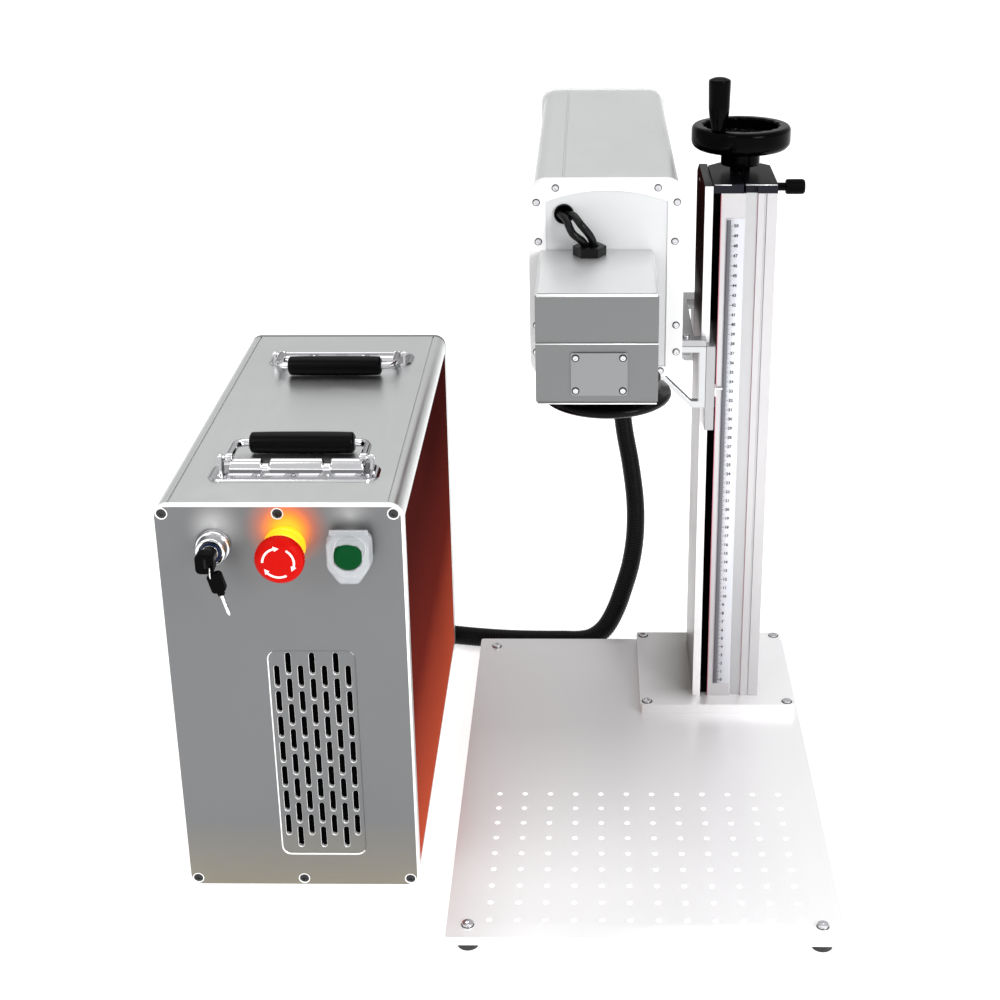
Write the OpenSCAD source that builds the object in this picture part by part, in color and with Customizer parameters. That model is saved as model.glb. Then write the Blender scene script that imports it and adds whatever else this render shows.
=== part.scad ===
// Split fibre laser marking machine: a control cabinet, and a stand that lifts the marking head.
// Millimetres, X to the right, Y to the back, Z up, standing on Z = 0.

/* [Set] */
// Gap between the cabinet and the base plate
cabinet_gap = 31.2; // [20:0.1:60]
// Distance of the cabinet's front behind the front edge of the base plate
cabinet_setback = 95.9; // [60:0.1:130]

/* [Base plate] */
// Width of the base plate
plate_w = 350; // [345:1:380]
// Depth of the base plate
plate_d = 550; // [540:1:600]
// Thickness of the base plate
plate_t = 8; // [6:0.5:12]
// Distance between neighbouring tapped holes
hole_pitch = 25; // [20:1:26]
// Columns of tapped holes
hole_cols = 12; // [4:1:12]
// Rows of tapped holes
hole_rows = 9; // [3:1:9]
// Core diameter of the tapped holes
tap_d = 5; // [4:0.1:6.8]
// Diameter of the stand's rubber feet
foot_d = 19.5; // [16:0.5:26]
// Height of the stand's rubber feet
foot_h = 13; // [10:0.5:20]

/* [Column] */
// Width and depth of the foot flange
flange_w = 165; // [150:1:170]
// Thickness of the foot flange
flange_t = 11; // [8:0.5:16]
// Thickness of the cover plate on the column's left
cover_t = 8.4; // [6:0.1:10]
// Width of the column's main profile
profile_w = 54.7; // [54:0.1:64]
// Depth of the column
column_d = 125; // [122:1:130]
// Height of the column's profile above the flange
column_h = 551.5; // [545:0.5:600]
// Width of the ruler
ruler_w = 21.5; // [18:0.1:21.6]
// Length of the ruler
ruler_l = 514; // [480:1:520]

/* [Top cap and lock] */
// Thickness of the top cap
cap_t = 8.7; // [8:0.1:12]
// Depth of the top cap
cap_d = 107; // [100:1:115]
// Diameter of the lock screw's knurled knob
lock_knob_d = 14.6; // [12:0.1:18]
// Length of the lock screw's knurled knob
lock_knob_l = 18.8; // [14:0.1:24]

/* [Lifting screw and handwheel] */
// Diameter of the lead screw
screw_d = 16; // [14:0.5:18]
// Radial running fit of shafts in their bores
running_fit = 0.05; // [0.02:0.01:0.1]
// Height of the blocks that close the column's ends
end_block_h = 20; // [16:1:24]
// Outer diameter of the handwheel
wheel_d = 97.5; // [90:0.5:100]
// Height of the handwheel's rim
wheel_rim_h = 23; // [18:0.5:26]
// Diameter of the handwheel's boss
wheel_boss_d = 38.4; // [30:0.1:44]
// Number of hollows round the rim's inner edge
wheel_lobes = 6; // [3:1:8]
// Diameter of the handwheel's grip
grip_d = 21.5; // [18:0.5:24]
// Length of the handwheel's grip
grip_h = 51; // [40:1:60]
// Direction of the grip round the wheel, in degrees from X
grip_angle = 230; // [0:5:355]

/* [Carriage and bracket] */
// Base plate to the carriage's lowest edge
carriage_rise = 324; // [318:1:330]
// Height of the carriage's arms
carriage_h = 88.5; // [80:0.5:96]
// Thickness of the arms
arm_t = 9; // [7:0.1:9.6]
// Distance by which the arms stand out of the column
arm_reach = 14.5; // [12:0.1:16]
// Height of the carriage's core block
core_h = 60; // [50:1:66]
// Thickness of the horizontal bracket plate
bracket_t = 6.5; // [5:0.5:9]
// Left end of the bracket plate to the arms
bracket_w = 144; // [130:1:150]
// Width of each triangular gusset
gusset_w = 77.5; // [70:0.5:80]
// Height of each triangular gusset
gusset_h = 64.5; // [60:0.5:70]
// Thickness of each triangular gusset
gusset_t = 8; // [6:0.5:9]

/* [Head] */
// Arms to the middle of the head
head_reach = 99.8; // [99:0.1:104]
// Front edge of the base plate to the head's front
head_setback = 280; // [270:1:290]
// Length of the head with its two end caps
head_l = 475; // [460:1:500]
// Width of the head's profile
head_w = 133.7; // [130:0.1:140]
// Height of the head's profile
head_h = 182; // [176:0.5:190]
// Radius of the head's long edges
head_r = 14; // [10:0.5:18]
// Thickness of the head's front cap
head_cap_t = 15; // [10:0.5:18]

/* [Scan head and lens] */
// Width of the scan head
scan_w = 103.6; // [100:0.1:106]
// Length of the scan head
scan_l = 135.2; // [132:0.1:140]
// Height of the scan head
scan_h = 98.2; // [94:0.1:102]
// Front of the scan head to the lens's axis
lens_setback = 73.2; // [72:0.1:74]
// Diameter of the lens barrel's body
lens_d = 112; // [104:0.5:114]
// Height of the lens barrel below the scan head
lens_h = 22; // [20:0.5:30]

/* [Cabinet] */
// Width of the cabinet
cabinet_w = 213; // [208:1:225]
// Depth of the cabinet
cabinet_d = 464; // [455:1:480]
// Height of the cabinet above its feet
cabinet_h = 385; // [380:1:400]
// Height of the cabinet's feet
cabinet_foot_h = 5; // [3:0.5:12]
// Radius of the cabinet's long edges
cabinet_r = 12; // [8:0.5:14]
// Thickness of the cabinet's front and rear panels
panel_t = 6; // [4:0.5:8]
// Left edge of the cabinet to the vent
vent_x = 89; // [80:1:95]
// Bottom of the cabinet to the vent
vent_z = 35; // [30:1:50]
// Width of the vent's sunk field
vent_w = 76; // [74:1:84]
// Height of the vent's sunk field
vent_h = 210.5; // [200:0.5:220]
// Columns of vent slots
vent_cols = 7; // [3:2:7]
// Slots in the longer columns of the vent
vent_rows = 8; // [4:1:8]
// Width of a vent slot
vent_slot_w = 4.3; // [3:0.1:6]
// Height of a vent slot
vent_slot_h = 17; // [12:0.5:19]

/* [Controls] */
// Top of the cabinet to the row of controls
controls_drop = 37; // [35:1:41]
// Diameter of the key switch's barrel
key_barrel_d = 26; // [24:0.5:27]
// Distance by which the key switch's barrel stands out
key_barrel_l = 17; // [14:0.5:20]
// Length of the key's bow
key_bow_l = 21; // [18:0.5:24]
// Height of the key's bow
key_bow_h = 16; // [14:0.5:16]
// Length of the spare key's blade
key_blade_l = 22; // [20:1:30]
// Diameter of the emergency stop's head
estop_head_d = 42; // [38:0.5:44]
// Thickness of the emergency stop's head
estop_head_l = 15; // [12:0.5:18]
// Diameter of the start button
start_d = 23; // [20:0.5:24]
// Width of the start button's guard
guard_w = 38; // [36:0.5:39]
// Height of the start button's guard
guard_h = 44; // [42:0.5:46]
// Distance by which the guard stands out of its frame
guard_l = 22; // [21:0.5:24]

/* [Handles] */
// Length of a handle's base
handle_base_w = 151; // [148:1:156]
// Depth of a handle's base
handle_base_d = 41; // [38:1:44]
// Left edge of the cabinet to the handles' bases
handle_x = 35.5; // [30:0.5:36]
// Front of the cabinet to the front handle's base
front_handle_y = 49; // [45:0.5:55]
// Front of the cabinet to the back edge of the rear handle's base
rear_handle_y = 400; // [395:0.5:432]
// Diameter of the handles' sleeves
sleeve_d = 20; // [18:0.5:22]
// Length of the handles' sleeves
sleeve_l = 95; // [90:1:100]
// Distance between a handle's pivot and its sleeve
bail_reach = 36; // [32:1:42]

/* [Cabinet's inside and back] */
// Depth of the fibre laser source
source_d = 300; // [260:1:320]
// Height of the fibre laser source
source_h = 95; // [80:1:110]
// Width of the power supply
supply_w = 55; // [45:1:60]
// Depth of the power supply
supply_d = 215; // [180:1:240]
// Height of the power supply
supply_h = 115; // [95:1:130]
// Width and height of the fan's frame
fan_w = 120; // [110:1:122]
// Depth of the fan's frame
fan_t = 38; // [32:1:42]
// Number of fan blades
fan_blades = 7; // [3:1:9]
// Bottom of the cabinet to the fan's axis
fan_z = 270; // [240:1:290]
// Width of the mains inlet
inlet_w = 48; // [44:1:52]
// Height of the mains inlet
inlet_h = 58; // [54:1:62]

/* [Hose] */
// Outer diameter of the corrugated hose
hose_d = 22.5; // [20:0.5:24]
// Inner diameter of the corrugated hose
hose_bore = 15; // [13:0.5:16]
// Depth of the hose's ribs
rib_depth = 1.6; // [1:0.1:2]
// Length of the hose glands
gland_l = 35; // [30:1:40]
// Ribs on the hose's drop from the head
drop_ribs = 140; // [60:5:145]
// Ribs on the stretch behind the base plate
floor_ribs = 38; // [20:2:40]
// Ribs on the stretch into the cabinet
tail_ribs = 20; // [10:2:22]
// Turns in the hose's coil
coil_turns = 2.75; // [1.75:1:4.75]
// Radius of the coil at the middle of its turns
coil_r = 108; // [100:1:120]

/* [Hidden] */
$fn = 48;

// Small sizes of the base plate, its feet and their screws
grid_inset_x = 37.5;
grid_inset_y = 25;
plate_corner_r = 3;
foot_inset_x = 19;
foot_inset_y = 18;
foot_screw_d = 5;
foot_screw_head_d = 10;
foot_screw_head_h = 2.8;

// Small sizes of the flange, the column, its grooves and the ruler
groove_w = 11.5;
cover_rise = 7;
slot_w = 7.3;
flange_edge_x = 4.5;
flange_edge_y = 4;
flange_screw_inset = 7.5;
flange_screw_d = 6;
flange_screw_head_d = 10;
flange_screw_head_h = 6;
column_inset_x = 56.6;
column_inset_y = 19.9;
profile_wall = 6;
cover_cut_d = 25;
cover_cut_h = 11.5;
groove_inset = 24.2;
groove_h = 2.5;
fine_groove_gap = 6.4;
fine_groove_w = 2.1;
fine_groove_h = 1.2;
ruler_inset = 2.2;
ruler_t = 0.8;
ruler_z = 26;

// Small sizes of the top cap, its notch, its slit and the lock screw
cap_chamfer_w = 20;
cap_chamfer_d = 22;
cap_notch_w = 11;
cap_notch_d = 5;
cap_slit_w = 2;
lock_inset_y = 9.4;
lock_thread_d = 5;
lock_thread_l = 40;
lock_stem_d = 8;
lock_stem_l = 7.7;

// Small sizes of the lifting screw, its bearings and the handwheel
wheel_rim_rise = 16;
wheel_rim_t = 13;
rod_d = 12;
screw_inset = 30;
journal_d = 10;
bearing_d = 26;
bearing_h = 8;
rod_offset = 38;
wheel_web_t = 8;
wheel_neck_h = 6.3;
wheel_neck_d = 20;
grip_r = 38;
grip_pin_d = 6;

// Small sizes and clearances of the carriage, its bushes and nut, the gussets and the pointer
arm_inset = 4.4;
arm_gap = 0.5;
web_gap = 0.7;
core_rise = 16;
core_gap = 3;
bush_d = 18;
bush_l = 20;
nut_d = 24;
nut_l = 40;
nut_flange_d = 32;
nut_flange_t = 6;
bracket_gap = 7.6;
bracket_tail = 12.6;
gusset_post = 7;
gusset_bar = 6.5;
gusset_foot = 7.4;
gusset_slope = 6.2;
small_screw_d = 5;
small_screw_h = 1.6;
pointer_w = 9;
pointer_h = 9;
pointer_t = 2;
pointer_rise = 36;

// Small sizes of the head, its caps and the optics inside it
cable_hole_d = 18;
isolator_l = 200;
gland_rise = 51;
head_wall = 4;
head_cap_lip = 3.2;
head_rear_t = 8;
head_cap_r = 16;
head_inset_t = 1;
head_inset_w = 109.5;
head_arch_r = 156;
head_panel_t = 1.5;
head_panel_margin = 20;
cable_hole_x = 38.2;
cable_hole_z = 154;
beam_port_d = 16;
isolator_w = 46;
expander_d = 30;
expander_l = 70;
bench_w = 70;

// Small sizes of the scan head, its mirrors and its gland
scan_rise = 22.5;
scan_cable_d = 7;
glass_d = 84;
scan_offset = 9.1;
scan_seam = 54.2;
scan_wall = 4;
scan_bevel = 2.5;
access_w = 48;
access_h = 38;
access_t = 1.5;
lens_ring_d = 116;
glass_t = 7;
lens_thread_d = 90;
mirror_gap = 17;
beam_rise = 36.5;
galvo_d = 20;
galvo_l = 34;
mirror_shaft_d = 5;
mirror_w = 11;
mirror_h = 15;
mirror_t = 1.5;
scan_gland_w = 26;
scan_gland_h = 8.3;

// Small sizes of the cabinet, its panels and their screws
inlet_x = 26;
inlet_z = 40;
hose_gland_x = 187;
hose_gland_z = 55;
fan_hub_d = 44;
cabinet_foot_d = 24;
cabinet_foot_inset = 34;
cabinet_wall = 4;
vent_r = 8;
side_panel_t = 2;
side_panel_margin = 16;
top_groove_inset = 12;
top_groove_w = 1.4;
panel_screw_inset = 8;
panel_screw_head_d = 9;
panel_screw_head_h = 3;
panel_screw_d = 4;
vent_t = 1;

// Small sizes of the controls
control_bore_d = 22;
key_collar_d = 31;
key_collar_l = 7;
estop_collar_d = 36;
estop_collar_l = 15;
estop_travel = 5;
start_bezel_d = 29;
start_bezel_l = 11;
start_rise = 5;
start_travel = 4;
key_plug_d = 14;
key_t = 2;
key_hole_d = 10;
key_ring_r = 6.4;
key_wire_d = 1.6;
key_blade_w = 7;
plunger_d = 12;
guard_wall = 1.6;
guard_frame_t = 3;
guard_pin_d = 3;
guard_barrel_d = 6;

// Small sizes of the handles
bail_d = 7.5;
handle_base_t = 2.5;
sleeve_gap = 0.3;
bail_margin = 11;
pivot_inset = 8;
ear_w = 6;

// Small sizes of the hose
gland_d = 32;
coil_gap = 1;

// Overrun of a cut past the face it opens
cut = 1;
// Circle fineness of small screws
fine = 24;

// Overall places
set_w = cabinet_w + cabinet_gap + plate_w;
set_d = head_setback + head_l + gland_l;
cabinet_x = -set_w / 2;
plate_x = set_w / 2 - plate_w;
plate_y = -set_d / 2;
cabinet_y = plate_y + cabinet_setback;
deck_z = foot_h + plate_t;

// Column places
flange_x = plate_x + plate_w - flange_edge_x - flange_w;
flange_y = plate_y + plate_d - flange_edge_y - flange_w;
column_x = flange_x + column_inset_x;
column_y = flange_y + column_inset_y;
column_z = deck_z + flange_t;
column_top = column_z + column_h;
column_back = column_y + column_d;
slot_x = column_x + cover_t;
profile_x = slot_x + slot_w;
column_right = profile_x + profile_w;
screw_x = slot_x + screw_inset;
screw_y = column_y + column_d / 2;
inner_y = column_y + profile_wall;
inner_d = column_d - 2 * profile_wall;
inner_x = column_right - profile_wall;
block_gap = 1;
source_gap = 9;
lower_block_top = column_z + end_block_h;
upper_block_z = column_top - end_block_h;
cap_top = column_top + cap_t;
lock_z = column_top + cap_t / 2;
lock_y = column_y + lock_inset_y;
notch_x = profile_x + groove_inset;

// Handwheel places
boss_z = cap_top + wheel_neck_h;
rim_z = boss_z + wheel_rim_rise;
rim_top = rim_z + wheel_rim_h;
grip_x = screw_x + grip_r * cos(grip_angle);
grip_y = screw_y + grip_r * sin(grip_angle);
grip_gap = 0.3;

// Carriage places
carriage_z = deck_z + carriage_rise;
carriage_top = carriage_z + carriage_h;
arm_x = column_x + arm_inset;
web_x = slot_x + web_gap;
web_t = arm_x + arm_t - web_x;
arm_front = column_y - arm_reach;
arm_back = column_back + arm_reach;
core_x = web_x + web_t;
core_end = inner_x - core_gap;
core_y = inner_y + core_gap;
core_d = inner_d - 2 * core_gap;
core_z = carriage_z + core_rise;
core_top = core_z + core_h;
bracket_z = carriage_top;
head_z = bracket_z + bracket_t;
bracket_front = arm_front;
bracket_mouth = column_x - bracket_gap;
front_tongue = column_y - arm_gap;
back_tongue = column_back + arm_gap;
bracket_back = arm_back + bracket_tail;

// Head places
head_mid = arm_x - head_reach;
head_front = plate_y + head_setback;
head_back = head_front + head_l;
shell_y = head_front + head_cap_t;
shell_l = head_l - head_cap_t - head_rear_t;
head_cap_w = head_w + 2 * head_cap_lip;
head_cap_h = head_h + small_screw_h;
gland_z = head_z + gland_rise;

// Scan head places
scan_x = head_mid - scan_offset - scan_w / 2;
scan_y = head_front - scan_l;
scan_z = head_z + scan_rise;
seam_z = scan_z + scan_seam;
scan_top = scan_z + scan_h;
lens_x = head_mid;
lens_y = scan_y + lens_setback;
beam_x = lens_x - mirror_gap;
beam_z = scan_z + beam_rise;
scan_gland_x = head_mid - 0.4 * cable_hole_x;
scan_gland_y = head_front - scan_gland_w / sqrt(3) - web_gap;
mount_t = 6;
mount_z = beam_z + mirror_h / 2 + mirror_shaft_d;

// Cabinet places
cabinet_z = cabinet_foot_h;
cabinet_top = cabinet_z + cabinet_h;
cabinet_back = cabinet_y + cabinet_d;
shell_front = cabinet_y + panel_t;
shell_depth = cabinet_d - 2 * panel_t;
control_z = cabinet_top - controls_drop;
control_shares = [0.23709, 0.52347, 0.78873];
key_x = cabinet_w * control_shares[0];
estop_x = cabinet_w * control_shares[1];
start_x = cabinet_w * control_shares[2];
socket_share = 0.55;
boss_r = 5;
boss_top = panel_screw_inset + boss_r;
equipment_y = shell_front + panel_t * 2 + control_bore_d;
source_w = cabinet_w - cabinet_wall - boss_top - 2 * block_gap - supply_w - source_gap;
key_hole_end = key_hole_d / 2 + (key_bow_h - key_hole_d) / 2;
key_hole_y = cabinet_y - key_barrel_l - key_bow_l + key_hole_end;

// Handle places
pivot_z = cabinet_top + sleeve_d / 2 + sleeve_gap;
handle_mid = cabinet_x + handle_x + handle_base_w / 2;
arm_half = sleeve_l / 2 + bail_margin;
front_pivot_y = cabinet_y + front_handle_y + handle_base_d - pivot_inset;
rear_pivot_y = cabinet_y + rear_handle_y - handle_base_d + pivot_inset;
ear_gap = 0.3;

// Hose glands
cabinet_gland_x = cabinet_x + hose_gland_x;
cabinet_gland_z = cabinet_z + hose_gland_z;

// Centre of the hose's coil, and its two ends
coil_centre = [-236, 325, 11.75];
coil_pitch = hose_d + coil_gap;
coil_lean = [1, 1, -1];
coil_steps = 24;
coil_in = coil_point(0) + [hose_d, 0, 0];
coil_out = coil_point(coil_turns) - [0, hose_d, 0];
// Hose's route from the head to the floor
head_end = [head_mid, head_back + gland_l, gland_z];
drop_route = [
    head_end, head_end + [0, hose_d, 0], [89, 440, 485], [90, 456, 468], [92, 464, 443],
    [96, 465, 410], [100, 459, 365], [103.5, 447, 322], [107, 430, 280], [111.5, 407, 240],
    [116, 379, 200], [124, 347, 162], [129, 315, 127], [128.5, 283, 98], [123, 253, 73],
    [114, 226, 53], [104, 203, 35], [92, 185, 21], [78, 174, 14], [62, 170, 11.75], [42, 170, 11.75]
];
// Its route along the back of the base plate
floor_route = [
    [42, 170, 11.75], [22, 170, 11.75], [-10, 171, 11.75], [-40, 174, 11.75], [-70, 179, 11.75],
    [-98, 185, 11.75], [-130, 192, 11.75], [-160, 198, 11.75], coil_in + [hose_d, 0, 0], coil_in
];
// Its route from the coil into the cabinet
cabinet_end = [cabinet_gland_x, cabinet_back + gland_l, cabinet_gland_z];
tail_route = [
    coil_out, coil_out - [0, hose_d, 0], [-112, 268, 38], [-111.5, 256, 44],
    [-111, 243, 52], [-110.5, 232, 58], cabinet_end + [0, hose_d, 0], cabinet_end
];

// Rectangle with round corners, its corner at the origin
module round_rect(w, h, r) {
    translate([r, 0]) square([w - 2 * r, h]);
    translate([0, r]) square([w, h - 2 * r]);
    for (x = [r, w - r], y = [r, h - r]) translate([x, y]) circle(r);
}

// A drawing in X and Z, carried along Y from y over a length
module along_y(y, length) {
    translate([0, y + length, 0]) rotate([90, 0, 0]) linear_extrude(length) children();
}

// A drawing in Y and Z, carried along X from x over a length
module along_x(x, length) {
    translate([x, 0, 0]) rotate([90, 0, 90]) linear_extrude(length) children();
}

// Round bar along Y from y over a length, at x and z
module bar_y(x, y, z, d, length) {
    translate([x, y, z]) rotate([-90, 0, 0]) cylinder(d = d, h = length);
}

// Round bar along X from x over a length, at y and z
module bar_x(x, y, z, d, length) {
    translate([x, y, z]) rotate([0, 90, 0]) cylinder(d = d, h = length);
}

// Socket-head screw: its head stands up from the origin and its shank goes down
module cap_screw(head_d, head_h, shank_d, shank_l) {
    difference() {
        union() {
            cylinder(d = head_d, h = head_h, $fn = fine);
            translate([0, 0, -shank_l]) cylinder(d = shank_d, h = shank_l + cut, $fn = fine);
        }
        translate([0, 0, head_h / 2]) cylinder(d = head_d * socket_share, h = head_h, $fn = 6);
    }
}

// Direction of the route at ring i
function heading(p, i) = let (
    a = p[max(i - 1, 0)],
    b = p[min(i + 1, len(p) - 1)]
) (b - a) / norm(b - a);

// Point on a smooth curve through the points p, at u measured in points
function on_curve(p, u) = let (
    n = len(p) - 1,
    i = min(floor(u), n - 1),
    t = u - i,
    a = p[max(i - 1, 0)],
    b = p[i],
    c = p[i + 1],
    d = p[min(i + 2, n)]
) b + t * ((c - a) / 2 + t * (a - 2.5 * b + 2 * c - d / 2 + t * (1.5 * (b - c) + (d - a) / 2)));

// The curve through p, sampled n + 1 times
function sampled(p, n) = [for (k = [0:n]) on_curve(p, k * (len(p) - 1) / n)];

// Rings of points round the path, with the radius of each ring
function rings(path, radii, sides, lean) = [
    for (i = [0:len(path) - 1])
        let (
            t = heading(path, i),
            s = cross(t, lean) / norm(cross(t, lean)),
            q = cross(s, t)
        )
        for (k = [0:sides - 1]) path[i] + radii[i] * (cos(360 * k / sides) * s + sin(360 * k / sides) * q)
];

// Triangles of the wall between n rings, starting at point first, turned round where flip is true
function wall(first, n, sides, flip) = [
    for (i = [0:n - 2], k = [0:sides - 1])
        let (
            a = first + i * sides + k,
            b = first + i * sides + (k + 1) % sides,
            c = a + sides,
            d = b + sides
        )
        each (flip ? [[a, c, b], [b, c, d]] : [[a, b, c], [b, d, c]])
];

// Closed solid tube along a path
module solid_tube(path, d, sides, lean) {
    n = len(path);
    points = rings(path, [for (p = path) d / 2], sides, lean);
    first_end = [for (k = [1:sides - 2]) [0, k + 1, k]];
    last = (n - 1) * sides;
    last_end = [for (k = [1:sides - 2]) [last, last + k, last + k + 1]];
    polyhedron(points, concat(wall(0, n, sides, false), first_end, last_end), convexity = 10);
}

// Ribbed hose with its bore, along the curve through a route
module ribbed_hose(route, ribs, lean) {
    sides = 8;
    outer = sampled(route, 2 * ribs - 1);
    bore_rings = ceil(ribs / 4);
    inner = sampled(route, bore_rings);
    crest = [for (i = [0:len(outer) - 1]) hose_d / 2 - rib_depth * (i % 2)];
    hole = [for (p = inner) hose_bore / 2];
    n = len(outer);
    m = len(inner);
    points = concat(rings(outer, crest, sides, lean), rings(inner, hole, sides, lean));
    in0 = n * sides;
    out1 = (n - 1) * sides;
    in1 = in0 + (m - 1) * sides;
    caps = [
        for (k = [0:sides - 1])
            let (j = (k + 1) % sides)
            each [
                [k, in0 + k, in0 + j], [k, in0 + j, j],
                [out1 + k, in1 + j, in1 + k], [out1 + k, out1 + j, in1 + j]
            ]
    ];
    faces = concat(wall(0, n, sides, false), wall(in0, m, sides, true), caps);
    polyhedron(points, faces, convexity = 10);
}

// Point of the coil after t turns: it spirals in, climbs a layer and spirals out again
function coil_point(t) = let (
    mid = coil_turns / 2,
    r = coil_r + coil_pitch * (abs(t - mid) - mid / 2),
    climb = min(1, max(0, (t - mid) * 2 + 0.5)),
    angle = -90 - 360 * t
) coil_centre + [r * cos(angle), r * sin(angle), coil_pitch * climb];
coil_path = [coil_in, for (k = [0:coil_turns * coil_steps]) coil_point(k / coil_steps), coil_out];

// Least gap between the coil's turns, less the hose's diameter
coil_self_gap = min([
    for (i = [0:len(coil_path) - 1], j = [i + coil_steps / 2:1:len(coil_path) - 1])
        norm(coil_path[i] - coil_path[j])
]) - hose_d;
// The same for the hose's drop
drop_samples = sampled(drop_route, 60);
drop_self_gap = min([for (i = [0:60], j = [i + 10:1:60]) norm(drop_samples[i] - drop_samples[j])]) - hose_d;
echo(coil_self_gap = coil_self_gap, drop_self_gap = drop_self_gap);

// Places of the stand's feet, in X and Y
foot_spots = [
    for (x = [plate_x + foot_inset_x, plate_x + plate_w - foot_inset_x],
         y = [plate_y + foot_inset_y, plate_y + plate_d - foot_inset_y]) [x, y]
];
flange_spots = [
    for (x = [flange_x + flange_screw_inset, flange_x + flange_w - flange_screw_inset],
         y = [flange_y + flange_screw_inset, flange_y + flange_w - flange_screw_inset]) [x, y]
];
panel_spots = [
    for (x = [panel_screw_inset, cabinet_w / 2, cabinet_w - panel_screw_inset],
         z = [panel_screw_inset, cabinet_h - panel_screw_inset]) [cabinet_x + x, cabinet_z + z]
];
// Places of the head caps' screws, as shares of the cap's half width and of its height
cap_screw_shares = [
    [0.653, 0.967], [0.899, 0.896], [0.877, 0.7], [0.912, 0.271], [0.92, 0.13], [0.713, 0.03]
];
cap_spots = [
    for (s = cap_screw_shares, side = [-1, 1])
        [head_mid + side * s[0] * head_cap_w / 2, head_z + s[1] * head_cap_h]
];

module base_plate() {
    grid_x = plate_x + grid_inset_x;
    grid_y = plate_y + grid_inset_y;
    color("gainsboro") translate([0, 0, foot_h]) difference() {
        translate([plate_x, plate_y]) linear_extrude(plate_t) round_rect(plate_w, plate_d, plate_corner_r);
        for (i = [0:hole_cols - 1], j = [0:hole_rows - 1])
            translate([grid_x + i * hole_pitch, grid_y + j * hole_pitch, -cut])
                cylinder(d = tap_d, h = plate_t + 2 * cut, $fn = fine);
        for (p = foot_spots) translate([p[0], p[1], -cut])
            cylinder(d = foot_screw_d, h = plate_t + 2 * cut, $fn = fine);
        for (p = flange_spots) translate([p[0], p[1], -cut])
            cylinder(d = flange_screw_d, h = plate_t + 2 * cut, $fn = fine);
    }
}

module rubber_feet() {
    color("dimgray") {
        for (p = foot_spots) translate([p[0], p[1], 0]) difference() {
            cylinder(d = foot_d, h = foot_h);
            translate([0, 0, foot_h / 4]) cylinder(d = foot_screw_d, h = foot_h, $fn = fine);
        }
        for (x = [cabinet_foot_inset, cabinet_w - cabinet_foot_inset],
             y = [cabinet_foot_inset, cabinet_d - cabinet_foot_inset])
            translate([cabinet_x + x, cabinet_y + y, 0]) cylinder(d = cabinet_foot_d, h = cabinet_foot_h);
    }
}

module column_flange() {
    color("gainsboro") translate([0, 0, deck_z]) difference() {
        translate([flange_x, flange_y]) linear_extrude(flange_t)
            round_rect(flange_w, flange_w, plate_corner_r);
        translate([plate_x + plate_w - foot_inset_x, plate_y + plate_d - foot_inset_y, -cut])
            cylinder(d = foot_screw_head_d + block_gap, h = foot_screw_head_h + block_gap / 2 + cut,
                $fn = fine);
        for (p = flange_spots) translate([p[0], p[1], -cut])
            cylinder(d = flange_screw_d, h = flange_t + 2 * cut, $fn = fine);
    }
}

module fixing_screws() {
    color("silver") {
        for (p = foot_spots) translate([p[0], p[1], deck_z])
            cap_screw(foot_screw_head_d, foot_screw_head_h, foot_screw_d, plate_t + foot_h / 2);
        for (p = flange_spots) translate([p[0], p[1], column_z])
            cap_screw(flange_screw_head_d, flange_screw_head_h, flange_screw_d, flange_t + plate_t / 2);
        for (p = panel_spots) {
            translate([p[0], cabinet_y + panel_screw_head_h, p[1]]) rotate([90, 0, 0])
                cap_screw(panel_screw_head_d, panel_screw_head_h - top_groove_w, panel_screw_d, panel_t);
            translate([p[0], cabinet_back - panel_screw_head_h, p[1]]) rotate([-90, 0, 0])
                cap_screw(panel_screw_head_d, panel_screw_head_h - top_groove_w, panel_screw_d, panel_t);
        }
    }
}

module column_profile() {
    grooves = [
        [groove_inset, groove_w, groove_h],
        [groove_inset + groove_w + fine_groove_gap, fine_groove_w, fine_groove_h]
    ];
    color("whitesmoke") translate([0, 0, column_z]) difference() {
        translate([profile_x, column_y]) cube([profile_w, column_d, column_h]);
        translate([profile_x - cut, inner_y, -cut])
            cube([profile_w - profile_wall + cut, inner_d, column_h + 2 * cut]);
        for (g = grooves, y = [column_y - cut, column_back - g[2]])
            translate([profile_x + g[0], y, -cut]) cube([g[1], g[2] + cut, column_h + 2 * cut]);
    }
}

module column_cover() {
    h = column_h + cover_rise;
    outline = [
        [0, 0], [column_d, 0], [column_d, h - cover_cut_h], [column_d - cover_cut_d, h], [0, h]
    ];
    color("silver") along_x(column_x, cover_t) translate([column_y, column_z]) polygon(outline);
}

module column_top_cap() {
    w = column_right - slot_x;
    outline = [
        [0, 0], [w, 0], [w, cap_d - cap_chamfer_d], [w - cap_chamfer_w, cap_d],
        [cap_chamfer_w, cap_d], [0, cap_d - cap_chamfer_d]
    ];
    color("#45454d") difference() {
        translate([slot_x, column_y, column_top]) linear_extrude(cap_t) polygon(outline);
        translate([notch_x, column_y - cut, column_top - cut])
            cube([cap_notch_w, cap_notch_d + cut, cap_t + 2 * cut]);
        translate([screw_x - cap_slit_w / 2, column_y, column_top - cut])
            cube([cap_slit_w, screw_y - column_y, cap_t + 2 * cut]);
        translate([screw_x, screw_y, column_top - cut])
            cylinder(r = journal_d / 2 + running_fit, h = cap_t + 2 * cut);
        bar_x(column_right - lock_thread_l, lock_y, lock_z, lock_thread_d + 2 * running_fit,
            lock_thread_l + cut);
    }
}

module ruler_scale() {
    color("white") translate([profile_x + ruler_inset, column_y - ruler_t, deck_z + ruler_z])
        cube([ruler_w, ruler_t, ruler_l]);
}

module guide_rods() {
    color("lightgray") for (side = [-1, 1])
        translate([screw_x, screw_y + side * rod_offset, column_z + end_block_h / 4])
            cylinder(d = rod_d, h = column_h - end_block_h / 2);
}

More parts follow.
